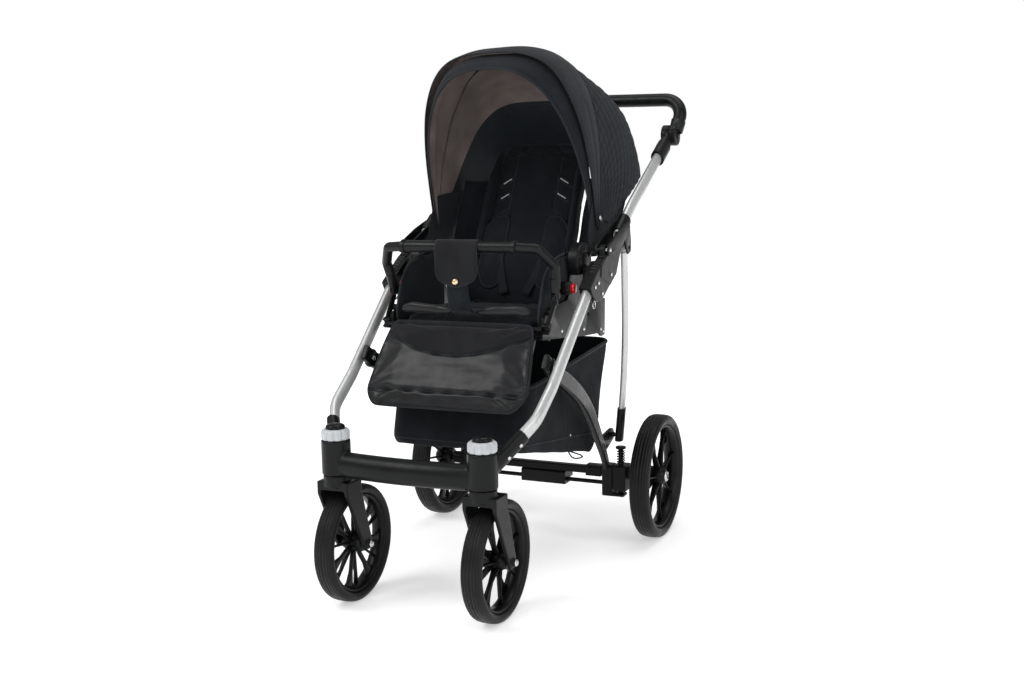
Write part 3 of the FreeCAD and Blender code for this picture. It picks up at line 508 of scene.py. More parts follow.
def make_wheel(side, end, hub_cap):
    node = "tyre_%s_%s" % (end, side)
    centre = centre_of(node)
    low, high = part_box(node)
    radius, half = (high.z - low.z) / 2, (high.x - low.x) / 2
    body = body_of_node(node)
    sign = 1.0 if side == "left" else -1.0
    x_axis = Vector((sign, 0, 0))
    tyre = lathe("tyre_%s_%s_tread" % (end, side), tyre_profile(radius, half * 0.99), centre, x_axis, "tyre", 128)
    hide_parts(node)
    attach(tyre, body)
    seat = radius * 0.83
    lip = half * 0.66
    band = [(-lip, seat), (-lip - 0.0012, seat - 0.002), (-lip, seat - 0.0045), (-lip + 0.003, seat - 0.006),
            (-half * 0.25, radius * 0.755), (half * 0.2, radius * 0.755), (lip - 0.003, seat - 0.006),
            (lip, seat - 0.0045), (lip + 0.0012, seat - 0.002), (lip, seat)]
    parts = [lathe("rim", band, centre, x_axis, "rim", 96)]
    hub_r = radius * 0.155
    out = 0.024 if end == "front" else 0.022
    hub = [(-out, 0.006), (-out, hub_r * 0.8), (-out + 0.002, hub_r * 0.92), (-half * 0.3, hub_r), (half * 0.1, hub_r),
           (out * 0.55, hub_r * 0.95), (out - 0.002, hub_r * 0.72), (out, hub_r * 0.62), (out, 0.006)]
    parts.append(lathe("hub", hub, centre, x_axis, "rim", 48))
    for i in range(FINS):
        parts.append(outer_fin(centre, x_axis, radius, half, hub_r, 2 * math.pi * i / FINS + 0.3))
        parts.append(inner_spoke(centre, x_axis, radius, half, hub_r, 2 * math.pi * (i + 0.5) / FINS + 0.3))
    rim = joined("rim_%s_%s_spoked" % (end, side), parts)
    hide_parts("rim_%s_%s" % (end, side))
    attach(rim, body)
    if hub_cap:
        dome = [(out - 0.001, 0.0), (out - 0.001, 0.0125), (out + 0.001, 0.0125), (out + 0.0035, 0.0105),
                (out + 0.0048, 0.0055), (out + 0.005, 0.0)]
        cap = lathe("hub_cap_" + side, dome, centre, x_axis, "steel", 32)
        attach(cap, body)


def radial_frame(angle):
    ray = Vector((0, math.cos(angle), math.sin(angle)))
    return ray, Vector((0, -math.sin(angle), math.cos(angle)))


def outer_fin(centre, x_axis, radius, half, hub_r, angle):
    """A thin radial blade on the outer face, deepest by the hub."""
    ray, cross = radial_frame(angle)
    stations = [(hub_r * 0.7, half * 0.52, 0.0022), (radius * 0.32, half * 0.42, 0.0017),
                (radius * 0.55, half * 0.30, 0.0014), (radius * 0.76, half * 0.42, 0.0016)]
    vertices = []
    for r, top, thick in stations:
        for x, w in ((-half * 0.05, 1.35), (top * 0.8, 1.0), (top, 0.45)):
            for s in (-1, 1):
                vertices.append(centre + ray * r + x_axis * x + cross * (s * thick * w))
    faces = []
    for i in range(len(stations) - 1):
        a, b = i * 6, (i + 1) * 6
        ring = (0, 2, 4, 5, 3, 1)
        for p, q in zip(ring, ring[1:] + ring[:1]):
            faces.append((a + p, a + q, b + q, b + p))
    faces += [(0, 2, 4, 5, 3, 1), tuple((len(stations) - 1) * 6 + k for k in (1, 3, 5, 4, 2, 0))]
    obj = new_object("fin", vertices, faces, ("rim",))
    recalculate(obj)
    return obj


def inner_spoke(centre, x_axis, radius, half, hub_r, angle):
    """A broad dished spoke behind the fins that widens into the rim."""
    ray, cross = radial_frame(angle)
    stations = [(hub_r * 0.8, 0.34, -0.02), (radius * 0.30, 0.17, -0.12), (radius * 0.50, 0.10, -0.22),
                (radius * 0.68, 0.13, -0.3), (radius * 0.765, 0.20, -0.32)]
    rows = []
    for r, spread, x in stations:
        width = r * spread
        rows.append([centre + ray * r + cross * (width * s) + x_axis * (half * (x - 0.10 * (1 - s * s)))
                     for s in (-1, -0.5, 0, 0.5, 1)])
    points = np.array([[tuple(p) for p in row] for row in rows])
    obj = sheet_object("spoke", points, 0.005, "rim", "rim")
    recalculate(obj)
    return obj


def make_wheels():
    for side, _ in SIDES:
        make_wheel(side, "front", False)
        make_wheel(side, "rear", True)


# ---------------------------------------------------------------- small frame details
SEAT_RIVETS = [(115, 516), (-13, 528), (222, 502), (197, 571), (238, 495), (62, 560)]


def make_knobs():
    """Scalloped grey lock rings with black domed caps over the swivel pins."""
    for side, _ in SIDES:
        node = "swivel_lock_ring_" + side
        low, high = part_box(node)
        centre = Vector(((low.x + high.x) / 2, (low.y + high.y) / 2, low.z))
        top = high.z - low.z
        section = [(0.0, 0.0125), (0.0, 0.024), (0.0012, 0.0272), (0.0035, 0.0282), (top - 0.006, 0.0282),
                   (top - 0.0025, 0.0268), (top - 0.0004, 0.0235), (top, 0.0215), (top, 0.0125)]
        ring = lathe("lock_ring_" + side, section, centre, (0, 0, 1), "knob_grey", 120, lobes=(10, 0.09))
        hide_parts(node)
        finish_trim(ring, body_of_node(node))
        dome = [(0.0, 0.0), (0.0, 0.0195), (0.0035, 0.0193), (0.0062, 0.0182), (0.0085, 0.0142), (0.0102, 0.0075),
                (0.0106, 0.0)]
        cap = lathe("swivel_cap_" + side, dome, centre + Vector((0, 0, top + 0.0002)), (0, 0, 1), "gloss_plastic", 40)
        finish_trim(cap, "chassis")


def make_springs():
    """Coil springs over the suspension rods, fixed to the rear frame."""
    for side, s in SIDES:
        coil = []
        for k in range(76):
            turn = 2 * math.pi * k / 15
            coil.append(at(s * 197 + 9 * math.cos(turn), 300 + 9 * math.sin(turn), 171.4 + 31.4 * k / 75))
        spring = tube_object("suspension_coil_" + side, coil, 0.00125, "black_steel")
        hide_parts("suspension_spring_" + side)
        finish_trim(spring, "rear_frame")
        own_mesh(spring)


def make_bolts():
    """Screw heads, rivets and small rings that are fixed to the frame and the seat."""
    casting = bpy.data.objects["front_casting_shell"]
    for side, s in SIDES:
        screws = []
        for share in (0.42, 0.74):
            hit, point, normal, _ = casting.ray_cast(at(s * 400, -364 + 67.5 * share, 302 + 65 * share), (-s, 0, 0))
            screws.append(rivet("screw", point, normal, 0.0042, "steel", 0.002))
        wheel = centre_of("tyre_front_" + side)
        finish_trim(joined("casting_screws_" + side, screws), "chassis")
        bolts = [rivet("bolt", wheel + Vector((d * 0.0418, 0, 0)), (d, 0, 0), 0.0068, "steel", 0.003) for d in (-1, 1)]
        finish_trim(joined("axle_bolts_" + side, bolts), "caster_" + side)
        rivets = [rivet("rivet", at(s * 178, y, z), (s, 0, 0), 0.0042, "steel", 0.0018) for y, z in SEAT_RIVETS]
        finish_trim(joined("seat_rivets_" + side, rivets), "seat")
        loop = [at(s * 236, 24 + 8 * math.sin(a), 581 + 8 * math.cos(a)) for a in np.linspace(0, 2 * math.pi, 13)[:-1]]
        finish_trim(tube_object("side_ring_" + side, loop, 0.0013, "steel", True), "chassis")
        guide = [(0.0, 0.0096), (0.0, 0.0145), (0.0185, 0.0145), (0.0205, 0.013), (0.0205, 0.0096)]
        finish_trim(lathe("button_guide_" + side, guide, at(s * 178.6, -9, 618), (s, 0, 0), "plastic", 36), "seat")
        puck = [(-0.0075, 0.0), (-0.0075, 0.016), (-0.005, 0.0195), (0.0, 0.0205), (0.005, 0.0195), (0.0075, 0.016),
                (0.0075, 0.0)]
        cover = lathe("link_cover_" + side, puck, at(s * 208.5, -150, 472), (s, 0, 0), "gloss_plastic", 40)
        finish_trim(cover, "rear_frame")
        arcs = []
        for radius in (25.0, 29.5, 34.0):
            arc = [at(s * 204.3, 60 + radius * math.cos(a), 670 + radius * math.sin(a))
                   for a in np.linspace(math.radians(25), math.radians(165), 15)]
            arcs.append(tube_object("rib", arc, 0.0015, "gloss_plastic"))
        finish_trim(joined("seat_joint_ribs_" + side, arcs), "seat")


# ---------------------------------------------------------------- hood
HUB_Y, HUB_Z = 148.0, 717.0
HOOD_HALF = 201.0


def rib_points(angle, radius, half, power, t):
    """Points of one hood bow, t from 0 at the left foot to 1 at the right foot, in millimetres."""
    a = math.radians(angle)
    u = np.pi * t
    c, s = np.cos(u), np.maximum(np.sin(u), 0.0)
    x = half * np.sign(c) * np.abs(c) ** (2.0 / power)
    r = radius * s ** (2.0 / power)
    return np.stack([x, HUB_Y + r * math.cos(a), HUB_Z + r * math.sin(a)], axis=-1)


def even_steps(angle, radius, half, power, count, foot):
    """Evenly spaced points along a bow, from `foot` mm above one hub over to the other."""
    fine = rib_points(angle, radius, half, power, np.linspace(0, 1, 1500))
    rise = np.hypot(fine[:, 1] - HUB_Y, fine[:, 2] - HUB_Z)
    keep = fine[rise >= foot]
    length = np.concatenate([[0], np.cumsum(np.linalg.norm(np.diff(keep, axis=0), axis=1))])
    goal = np.linspace(0, length[-1], count)
    return np.stack([np.interp(goal, length, keep[:, k]) for k in range(3)], axis=-1)


def hood_surface(ribs, rows, columns, foot):
    """A grid swept through ribs of (angle, radius, half width, power), smoothly between them."""
    angles = np.array([r[0] for r in ribs], float)
    grid = []
    for angle in np.linspace(angles[0], angles[-1], rows):
        order = np.argsort(angles)
        values = [smooth_between(angle, angles[order], np.array([r[k] for r in ribs], float)[order])
                  for k in (1, 2, 3)]
        grid.append(even_steps(angle, values[0], values[1], values[2], columns, foot)[::-1])
    return np.array(grid)


def smooth_between(x, xs, ys):
    """Cubic interpolation, with slopes from the gradient of the values."""
    slopes = np.gradient(ys, xs) if len(xs) > 2 else np.full(len(xs), (ys[-1] - ys[0]) / (xs[-1] - xs[0]))
    i = int(np.clip(np.searchsorted(xs, x) - 1, 0, len(xs) - 2))
    h = xs[i + 1] - xs[i]
    t = (x - xs[i]) / h
    return ((1 + 2 * t) * (1 - t) ** 2 * ys[i] + t * (1 - t) ** 2 * h * slopes[i]
            + t * t * (3 - 2 * t) * ys[i + 1] + t * t * (t - 1) * h * slopes[i + 1])


def to_frame(points):
    """Millimetres with y from midway between the axles, as metres in the frame."""
    return points / 1000.0 + np.array([0, MID_Y, 0])


def sheet_size(points):
    """(width, length, area) of a grid of points as it would lie flat, in metres."""
    across = np.linalg.norm(np.diff(points, axis=1), axis=2).sum(1).max()
    along = np.linalg.norm(np.diff(points, axis=0), axis=2).sum(0).max()
    a, b = np.diff(points, axis=0)[:, :-1], np.diff(points, axis=1)[:-1]
    area = np.linalg.norm(np.cross(a, b), axis=2).sum()
    return float(across), float(along), float(area)


def lengthwise(points):
    """Mean distance of each row from the first, in millimetres."""
    steps = np.linalg.norm(np.diff(points, axis=0), axis=2).mean(1)
    return np.concatenate([[0], np.cumsum(steps)])


def fold_noise(points, size, seed):
    return np.array([[noise.noise(Vector(p) / size + Vector((seed, 0, 0))) for p in row] for row in points])


def make_hood():
    foot = 16.0
    # wide smooth band over the front bow
    band = hood_surface([(80.0, 411.0, HOOD_HALF - 0.5, 2.95), (92.0, 413.5, HOOD_HALF + 0.5, 3.05),
                         (105.6, 412.0, HOOD_HALF, 3.2)], 40, 190, foot)
    u = np.linspace(0, 1, 40)[:, None]
    v = np.abs(np.linspace(-1, 1, 190))[None, :]
    swell = 3.2 * np.sin(np.pi * u) ** 0.6 * (0.4 + 0.6 * (1 - v))
    rolls = -1.5 * np.exp(-((u - 0.5) / 0.09) ** 2) * (v > 0.45)
    band += grid_normals(band) * (swell + rolls + 1.4 * fold_noise(band, 75.0, 3.0))[..., None]
    make_hood_sheet("hood_band", band, "hood_front", "fabric", 1.6, ["hood_front"])
    hem_lines("hood_band_piping", "hood_front", band, ((0, 2.2), (4, 0.7), (-1, 1.9), (-4, 0.6)))
    # visor: tucks under the band, smooth, with a stiff double-stitched edge
    visor = hood_surface([(98.5, 402.5, HOOD_HALF - 9.0, 3.1), (105.0, 399.5, HOOD_HALF - 8.5, 3.0),
                          (111.5, 387.5, HOOD_HALF - 10.0, 2.6)], 30, 190, foot)
    u = np.linspace(0, 1, 30)[:, None]
    visor += grid_normals(visor) * (2.0 * np.sin(np.pi * u) + 0.8 * fold_noise(visor, 60.0, 8.0))[..., None]
    make_hood_sheet("hood_visor_cloth", visor, "hood_visor", "fabric", 1.8, ["hood_visor"])
    hem_lines("visor_piping", "hood_visor", visor, ((-1, 2.3), (-5, 0.7), (-7, 0.7)))
    # rear panel, quilted in diamonds
    rear = hood_surface([(22.0, 406.0, HOOD_HALF, 7.0), (34.0, 412.0, HOOD_HALF, 6.4), (45.0, 412.0, HOOD_HALF, 5.6),
                         (56.0, 402.0, HOOD_HALF, 4.8), (68.0, 400.0, HOOD_HALF, 3.7), (81.0, 409.0, HOOD_HALF, 3.0)],
                        120, 420, foot)
    across = np.linspace(-0.5, 0.5, 420)[None, :] * np.linalg.norm(np.diff(rear, axis=1), axis=2).sum(1).mean()
    along = lengthwise(rear)[:, None]
    cell = 36.0
    p, q = (across + along) / cell, (across - along) / cell
    puff = (np.abs(np.sin(np.pi * p)) * np.abs(np.sin(np.pi * q))) ** 0.55
    rise = np.hypot(rear[..., 1] - HUB_Y, rear[..., 2] - HUB_Z)
    fade = np.clip((rise - 40.0) / 80.0, 0, 1)
    slow = rear + grid_normals(rear) * (1.6 * fold_noise(rear, 90.0, 5.0))[..., None]
    inside = to_frame(slow - grid_normals(rear) * 3.0)
    rear = slow + grid_normals(rear) * (1.6 * (puff - 0.5) * fade)[..., None]
    make_hood_sheet("hood_quilted_back", rear, "backrest", "quilt", 1.6, ["hood_rear"], 58, inside)
    for side, s in SIDES:
        make_hood_skirt(side, s)


def hem_lines(name, body, points, rows):
    """Piping and stitch lines along rows of a sheet's grid; rows gives (row, radius in mm)."""
    grid = to_frame(points)
    lines = [tube_object("hem", [tuple(p) for p in grid[row][::2]], radius / 1000.0, "piping", sides=2)
             for row, radius in rows]
    finish_trim(joined(name, lines), body)


def make_hood_skirt(side, s):
    """The hood's side panel that hangs over the hinge below the bows."""
    lower = spline_points([(0, 84, 690), (0, 112, 686), (0, 160, 690), (0, 238, 704), (0, 292, 760), (0, 318, 792)], 40)
    upper = spline_points([(0, 128, 800), (0, 150, 808), (0, 182, 812), (0, 222, 815), (0, 268, 816), (0, 322, 812)], 40)
    rows = []
    for t in np.linspace(0, 1, 16):
        row = [a * (1 - t) + b * t for a, b in zip(lower, upper)]
        tuck = 7.6 * min(1.0, t / 0.35)
        rows.append([(s * (203.0 - tuck + 1.0 * math.sin(p.y / 21.0) * max(0.0, 1 - t / 0.4)), p.y, p.z) for p in row])
    points = np.array(rows)
    points = points if s < 0 else points[:, ::-1]
    skirt = sheet_object("hood_skirt_" + side, to_frame(points), 0.0014, "fabric", "fabric")
    fix_outward(skirt)
    finish_trim(skirt, "backrest")
    width, length, area = sheet_size(to_frame(points))
    hem_lines("hood_skirt_hem_" + side, "backrest", points, ((0, 1.8), (2, 0.6)))
    snap = rivet("hood_snap_" + side, at(s * 202.4, 157, 757), (s, 0, 0), 0.0055, "steel", 0.0026)
    finish_trim(snap, "hood_front")


def make_hood_sheet(name, points, body, outer, thick, nodes, lining_from=None, below=None):
    points = to_frame(points)
    obj = sheet_object(name, points, thick / 1000.0, outer, "lining", lining_from, below)
    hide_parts(*nodes)
    if body == "backrest":
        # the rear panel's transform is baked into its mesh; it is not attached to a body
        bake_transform(obj)
    else:
        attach(obj, body)
    return obj


# ---------------------------------------------------------------- padded pieces
BACK_FOOT = (131.0, 552.0)
BACK_TILT = math.radians(27.0)
LEG_AXIS = (-121.0, 545.0)
LEG_TILT = math.radians(32.7)


def on_back(x, up, front):
    """Across the backrest, up it from its foot, and in front of its face, in millimetres."""
    y = BACK_FOOT[0] + up * math.sin(BACK_TILT) - front * math.cos(BACK_TILT)
    z = BACK_FOOT[1] + up * math.cos(BACK_TILT) + front * math.sin(BACK_TILT)
    return at(x, y, z)


def on_leg(x, down, front):
    """Across the legrest, down it from its hinge, and in front of its hinge line, in millimetres."""
    y = LEG_AXIS[0] - down * math.sin(LEG_TILT) - front * math.cos(LEG_TILT)
    z = LEG_AXIS[1] - down * math.cos(LEG_TILT) + front * math.sin(LEG_TILT)
    return at(x, y, z)


def on_side(x, y, z):
    return at(x, y, z)


def rounded_outline(corners, radius, steps=6):
    """A closed outline of (u, v) corners, each rounded by an arc-like curve."""
    points = []
    count = len(corners)
    for i, corner in enumerate(corners):
        before, here, after = Vector(corners[i - 1]), Vector(corner), Vector(corners[(i + 1) % count])
        reach = min(radius, (before - here).length * 0.45, (after - here).length * 0.45)
        a = here + (before - here).normalized() * reach
        b = here + (after - here).normalized() * reach
        for k in range(steps + 1):
            t = k / steps
            points.append(a * (1 - t) ** 2 + here * (2 * t * (1 - t)) + b * t * t)
    return [(p.x, p.y) for p in points]


def slab(name, outline, place, low, high, material):
    """A flat slab: the outline in (u, v) and the two depths, placed by place(u, v, depth)."""
    count = len(outline)
    vertices = [place(u, v, low) for u, v in outline] + [place(u, v, high) for u, v in outline]
    faces = [tuple(range(count)), tuple(range(2 * count - 1, count - 1, -1))]
    faces += [(i, i + count, (i + 1) % count + count, (i + 1) % count) for i in range(count)]
    obj = new_object(name, vertices, faces, (material,))
    recalculate(obj)
    return obj


def coordinates(obj):
    co = np.zeros(len(obj.data.vertices) * 3, np.float32)
    obj.data.vertices.foreach_get("co", co)
    return co.reshape(-1, 3).astype(float)


def set_coordinates(obj, co):
    obj.data.vertices.foreach_set("co", co.astype(np.float32).ravel())
    obj.data.update()


def inflated(obj, cap, voxel=0.006, pressure=4.0, held=None):
    """Cloth simulation under inner pressure; no point travels further than cap metres. held(co) marks fixed points."""
    material = obj.data.materials[0]
    applied(obj, "REMESH", mode="VOXEL", voxel_size=voxel)
    applied(obj, "SMOOTH", factor=0.5, iterations=3)
    start = coordinates(obj)
    cloth_sim = obj.modifiers.new("cloth", "CLOTH")
    settings = cloth_sim.settings
    settings.quality = 5
    settings.mass = 0.3
    settings.tension_stiffness = 12.0
    settings.compression_stiffness = 12.0
    settings.shear_stiffness = 6.0
    settings.bending_stiffness = 0.6
    settings.use_pressure = True
    settings.uniform_pressure_force = pressure
    settings.effector_weights.gravity = 0.0
    if held is not None:
        group = obj.vertex_groups.new(name="held")
        marked = [i for i, p in enumerate(start) if held(p)]
        group.add(marked, 1.0, "REPLACE")
        settings.vertex_group_mass = "held"
    scene = bpy.context.scene
    for step in range(1, 21):
        scene.frame_set(step)
    result = obj.evaluated_get(bpy.context.evaluated_depsgraph_get())
    moved = np.array([v.co for v in result.data.vertices], float)
    obj.modifiers.clear()
    scene.frame_set(1)
    if len(moved) == len(start):
        way = moved - start
        far = np.linalg.norm(way, axis=1, keepdims=True)
        start = start + way * np.minimum(1.0, cap / np.maximum(far, 1e-9))
        set_coordinates(obj, start)
    obj.vertex_groups.clear()
    applied(obj, "SMOOTH", factor=0.5, iterations=2)
    applied(obj, "SUBSURF", levels=1, render_levels=1)
    obj.data.materials.clear()
    obj.data.materials.append(material)
    return smooth_faces(obj)


def behind(place, depth):
    """A test for points that lie less than depth mm along place's third axis, which a simulation holds still."""
    origin = Vector(place(0, 0, 0))
    front = Vector(place(0, 0, 1)) - origin
    return lambda p: (Vector(p) - origin).dot(front) < depth * front.length_squared


def local_coordinates(obj, place):
    """(u, v, depth) of each vertex in the flat frame of place, in millimetres."""
    origin = np.array(place(0, 0, 0))
    axes = [np.array(place(*unit)) - origin for unit in ((1, 0, 0), (0, 1, 0), (0, 0, 1))]
    axes = [a / np.dot(a, a) for a in axes]
    co = coordinates(obj) - origin
    return np.stack([co @ a for a in axes], axis=-1)


def pressed(obj, place, grooves, above):
    """Sinks seams into the face that lies over `above` mm; grooves gives the depth in mm at (u, v)."""
    local = local_coordinates(obj, place)
    sink = grooves(local[:, 0], local[:, 1]) * np.clip((local[:, 2] - above) / 4.0, 0, 1)
    front = np.array(place(0, 0, 1)) - np.array(place(0, 0, 0))
    set_coordinates(obj, coordinates(obj) - sink[:, None] * front)
    return obj


def groove(distance, depth, width):
    return depth * np.exp(-(distance / width) ** 2)


def painted(obj, place, extra, rule):
    """Gives faces another material: rule(u, v, depth) returns the slot index for each face centre."""
    for name in extra:
        obj.data.materials.append(MAT[name])
    origin = np.array(place(0, 0, 0))
    axes = [np.array(place(*unit)) - origin for unit in ((1, 0, 0), (0, 1, 0), (0, 0, 1))]
    axes = [a / np.dot(a, a) for a in axes]
    centres = np.zeros(len(obj.data.polygons) * 3)
    obj.data.polygons.foreach_get("center", centres)
    centres = centres.reshape(-1, 3) - origin
    u, v, w = (centres @ a for a in axes)
    obj.data.polygons.foreach_set("material_index", rule(u, v, w).astype(int))
    obj.data.update()


def on_surface(obj, place, flat, front=1):
    """Drops (u, v) points on to the outer face of obj along the depth axis, as points in the frame."""
    way = (Vector(place(0, 0, 0)) - Vector(place(0, 0, front))).normalized()
    found = []
    for u, v in flat:
        start = Vector(place(u, v, 120 * front))
        hit, point, _, _ = obj.ray_cast(start, way)
        found.append(point if hit else Vector(place(u, v, 0)))
    return found


def seam_tube(name, obj, place, flat, radius, material, closed=False, lift=0.3):
    """A raised seam or piping that follows the surface of obj."""
    rise = (Vector(place(0, 0, lift)) - Vector(place(0, 0, 0)))
    return tube_object(name, [p + rise for p in on_surface(obj, place, flat)], radius, material, closed)


def line(a, b, steps=10):
    return [(a[0] + (b[0] - a[0]) * i / steps, a[1] + (b[1] - a[1]) * i / steps) for i in range(steps + 1)]


def soften_noise(obj, size, depth, seed):
    """Slow, shallow unevenness of stuffed cloth, along the vertex normals."""
    co = coordinates(obj)
    normals = np.array([v.normal for v in obj.data.vertices], float)
    push = np.array([noise.noise(Vector(p) / size + Vector((seed, 0, 0))) for p in co])
    set_coordinates(obj, co + normals * (push * depth)[:, None])
    return obj


def finish_pad(obj, body, slot, fill, *nodes):
    if nodes:
        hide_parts(*nodes)
    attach(obj, body)


def finish_trim(obj, body):
    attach(obj, body)


def make_backrest():
    outline = rounded_outline([(-150, 14), (150, 14), (148, 84), (114, 150), (108, 330), (97, 424), (-97, 424),
                               (-108, 330), (-114, 150), (-148, 84)], 26)
    pad = slab("backrest_cushion", outline, on_back, -30, -4, "seat_fabric")
    pad = inflated(pad, 0.009, held=behind(on_back, -13))

    def seams(u, v):
        head = groove(v - (398 - 16 * (u / 105) ** 2), 6.0, 5.0)
        columns = sum(groove(u - s * 57, 2.2, 5.0) * ((v > 60) & (v < 380)) for s in (-1, 1))
        darts = sum(groove(u - s * (44 - 0.6 * (v - 402)), 2.5, 4.0) * (v > 402) for s in (-1, 1))
        sides = sum(groove(u - s * 101, 2.0, 5.0) * (v < 385) for s in (-1, 1))
        return head + columns + darts + sides
    pressed(pad, on_back, seams, -16)
    soften_noise(pad, 0.05, 0.0018, 2.0)
    trims = []
    arc = [(u, 398 - 16 * (u / 105) ** 2) for u in np.linspace(-98, 98, 22)]
    trims.append(seam_tube("seam", pad, on_back, arc, 0.0011, "piping"))
    for s in (-1, 1):
        trims.append(seam_tube("seam", pad, on_back, line((s * 57, 62), (s * 57, 380), 16), 0.0007, "thread"))
        for row, up in enumerate((318, 279, 234)):
            trims += harness_slot(pad, s, up, row < 2)
    edge = joined("backrest_seams", trims)
    rim = rounded_outline([(-147, 20), (147, 20), (145, 84), (111, 150), (106, 330), (95, 420), (-95, 420),
                           (-106, 330), (-111, 150), (-145, 84)], 26, 3)
    edge_tube = tube_object("backrest_piping", [on_back(u, v, -9) for u, v in rim], 0.0026, "piping", True)
    finish_pad(pad, "backrest", "fabric", 0.6, "backrest_pad")
    finish_trim(edge, "backrest")
    finish_trim(edge_tube, "backrest")
    make_back_shell()
    make_back_wings()
    make_harness(pad)


def harness_slot(pad, s, up, dash):
    """A bound slot that falls outwards, with a light thread of webbing in it."""
    a, b = (s * 55, up + 10), (s * 91, up - 10)
    made = [seam_tube("slot", pad, on_back, line(a, b, 6), 0.0042, "webbing", lift=-1.5)]
    ring = []
    for t in np.linspace(0, 2 * math.pi, 18, endpoint=False):
        along, across = 0.5 + 0.56 * math.cos(t), 7.0 * math.sin(t)
        ring.append((a[0] + (b[0] - a[0]) * along, a[1] + (b[1] - a[1]) * along + across))
    made.append(seam_tube("slot_binding", pad, on_back, ring, 0.0014, "piping", True))
    if dash:
        made.append(seam_tube("slot_dash", pad, on_back, line((s * 62, up + 6), (s * 82, up - 5), 4), 0.0013,
                              "knob_grey", lift=3.4))
    return made


def make_back_shell():
    """The stiff fabric back behind the cushion, up into the hood."""
    outline = rounded_outline([(-140, 10), (140, 10), (100, 86), (91, 200), (88, 400), (78, 426), (-78, 426),
                               (-88, 400), (-91, 200), (-100, 86)], 20)
    shell = slab("backrest_cover", outline, on_back, -50.5, -38, "seat_fabric")
    applied(shell, "REMESH", mode="VOXEL", voxel_size=0.004)
    applied(shell, "SMOOTH", factor=0.5, iterations=5)
    shell.data.materials.append(MAT["seat_fabric"])
    soften_noise(smooth_faces(shell), 0.06, 0.0014, 7.0)
    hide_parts("backrest_frame")
    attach(shell, "backrest")


def make_back_wings():
    """Padded edges that stand forward along both sides of the backrest."""
    for side, s in SIDES:
        def place(u, v, w, s=s):
            return on_back(s * (118 - w - 0.03 * max(0.0, u - 200)), u, v)
        outline = rounded_outline([(118, -26), (118, 4), (150, 26), (330, 30), (408, 2), (410, -26)], 22)
        wing = slab("backrest_wing_" + side, outline, place, 0, 9, "seat_fabric")
        wing = inflated(wing, 0.004, 0.005)
        soften_noise(wing, 0.05, 0.0016, 40.0 + s)
        finish_pad(wing, "backrest", "fabric", 0.6)
        rows = [[tuple(on_back(s * (127 + 66 * u), v, -8 - 9 * math.sin(math.pi * u) + 2 * math.sin(v / 17.0)))
                 for u in np.linspace(0, 1, 15)] for v in np.linspace(138, 330, 26)]
        points = np.array(rows)
        gusset = sheet_object("hood_gusset_" + side, points, 0.0014, "fabric", "fabric")
        fix_outward(gusset)
        finish_trim(gusset, "backrest")


def make_harness(pad):
    straps = []
    for s, side in ((1, "left"), (-1, "right")):
        inner, outer = s * 47, s * 104
        outline = rounded_outline([(inner, 52), (inner, 224), (s * 78, 228), (outer, 200), (outer, 84), (s * 80, 46)],
                                  22)
        cushion = slab("shoulder_pad_" + side, outline, on_back, 4.5, 10, "seat_fabric")
        cushion = inflated(cushion, 0.005, 0.004, held=behind(on_back, 7.5))
        pressed(cushion, on_back, lambda u, v: groove(np.hypot(u - s * 76, (v - 138) / 2.4) - 20, 1.6, 4.0), 7)
        soften_noise(cushion, 0.03, 0.0012, 11.0 + s)
        rim = rounded_outline([(inner, 52), (inner, 224), (s * 78, 228), (outer, 200), (outer, 84), (s * 80, 46)],
                              22, 3)
        piping = tube_object("shoulder_piping_" + side, [on_back(u, v, 7.5) for u, v in rim], 0.0022, "piping", True)
        finish_pad(cushion, "backrest", "fabric_pad", 0.5, *(("harness_pads",) if s == 1 else ()))
        finish_trim(piping, "backrest")
        straps.append(strap("strap_" + side, [on_back(s * 62, 236, 0), on_back(s * 61, 228, 6.0), on_back(s * 60, 150, 7.5),
                                              on_back(s * 46, 90, 8.0), on_back(s * 26, 34, 9.0)], 0.02,
                            on_back(0, 0, 1) - on_back(0, 0, 0)))
    webbing = joined("harness_webbing", straps)
    finish_trim(webbing, "backrest")


def strap(name, points, width, outward, thick=0.0016):
    """Flat webbing along a smooth line, facing outward."""
    smooth = spline_points(points, 28)
    outward = Vector(outward).normalized()
    rows = []
    for i, p in enumerate(smooth):
        way = (smooth[min(i + 1, len(smooth) - 1)] - smooth[max(i - 1, 0)]).normalized()
        side = way.cross(outward).normalized() * (width / 2)
        rows.append([tuple(p + side * k) for k in (-1, -0.9, -0.3, 0.3, 0.9, 1)])
    obj = sheet_object(name, np.array(rows), thick, "webbing", "webbing")
    recalculate(obj)
    return obj


def spline_points(points, count):
    """Catmull-Rom line through the points."""
    pts = [Vector(p) for p in points]
    pts = [pts[0] * 2 - pts[1]] + pts + [pts[-1] * 2 - pts[-2]]
    found = []
    spans = len(pts) - 3
    for k in range(count):
        f = k / (count - 1) * spans
        i = min(int(f), spans - 1)
        t = f - i
        a, b, c, d = pts[i:i + 4]
        found.append(0.5 * ((2 * b) + (c - a) * t + (2 * a - 5 * b + 4 * c - d) * t * t
                            + (3 * b - a - 3 * c + d) * t ** 3))
    return found


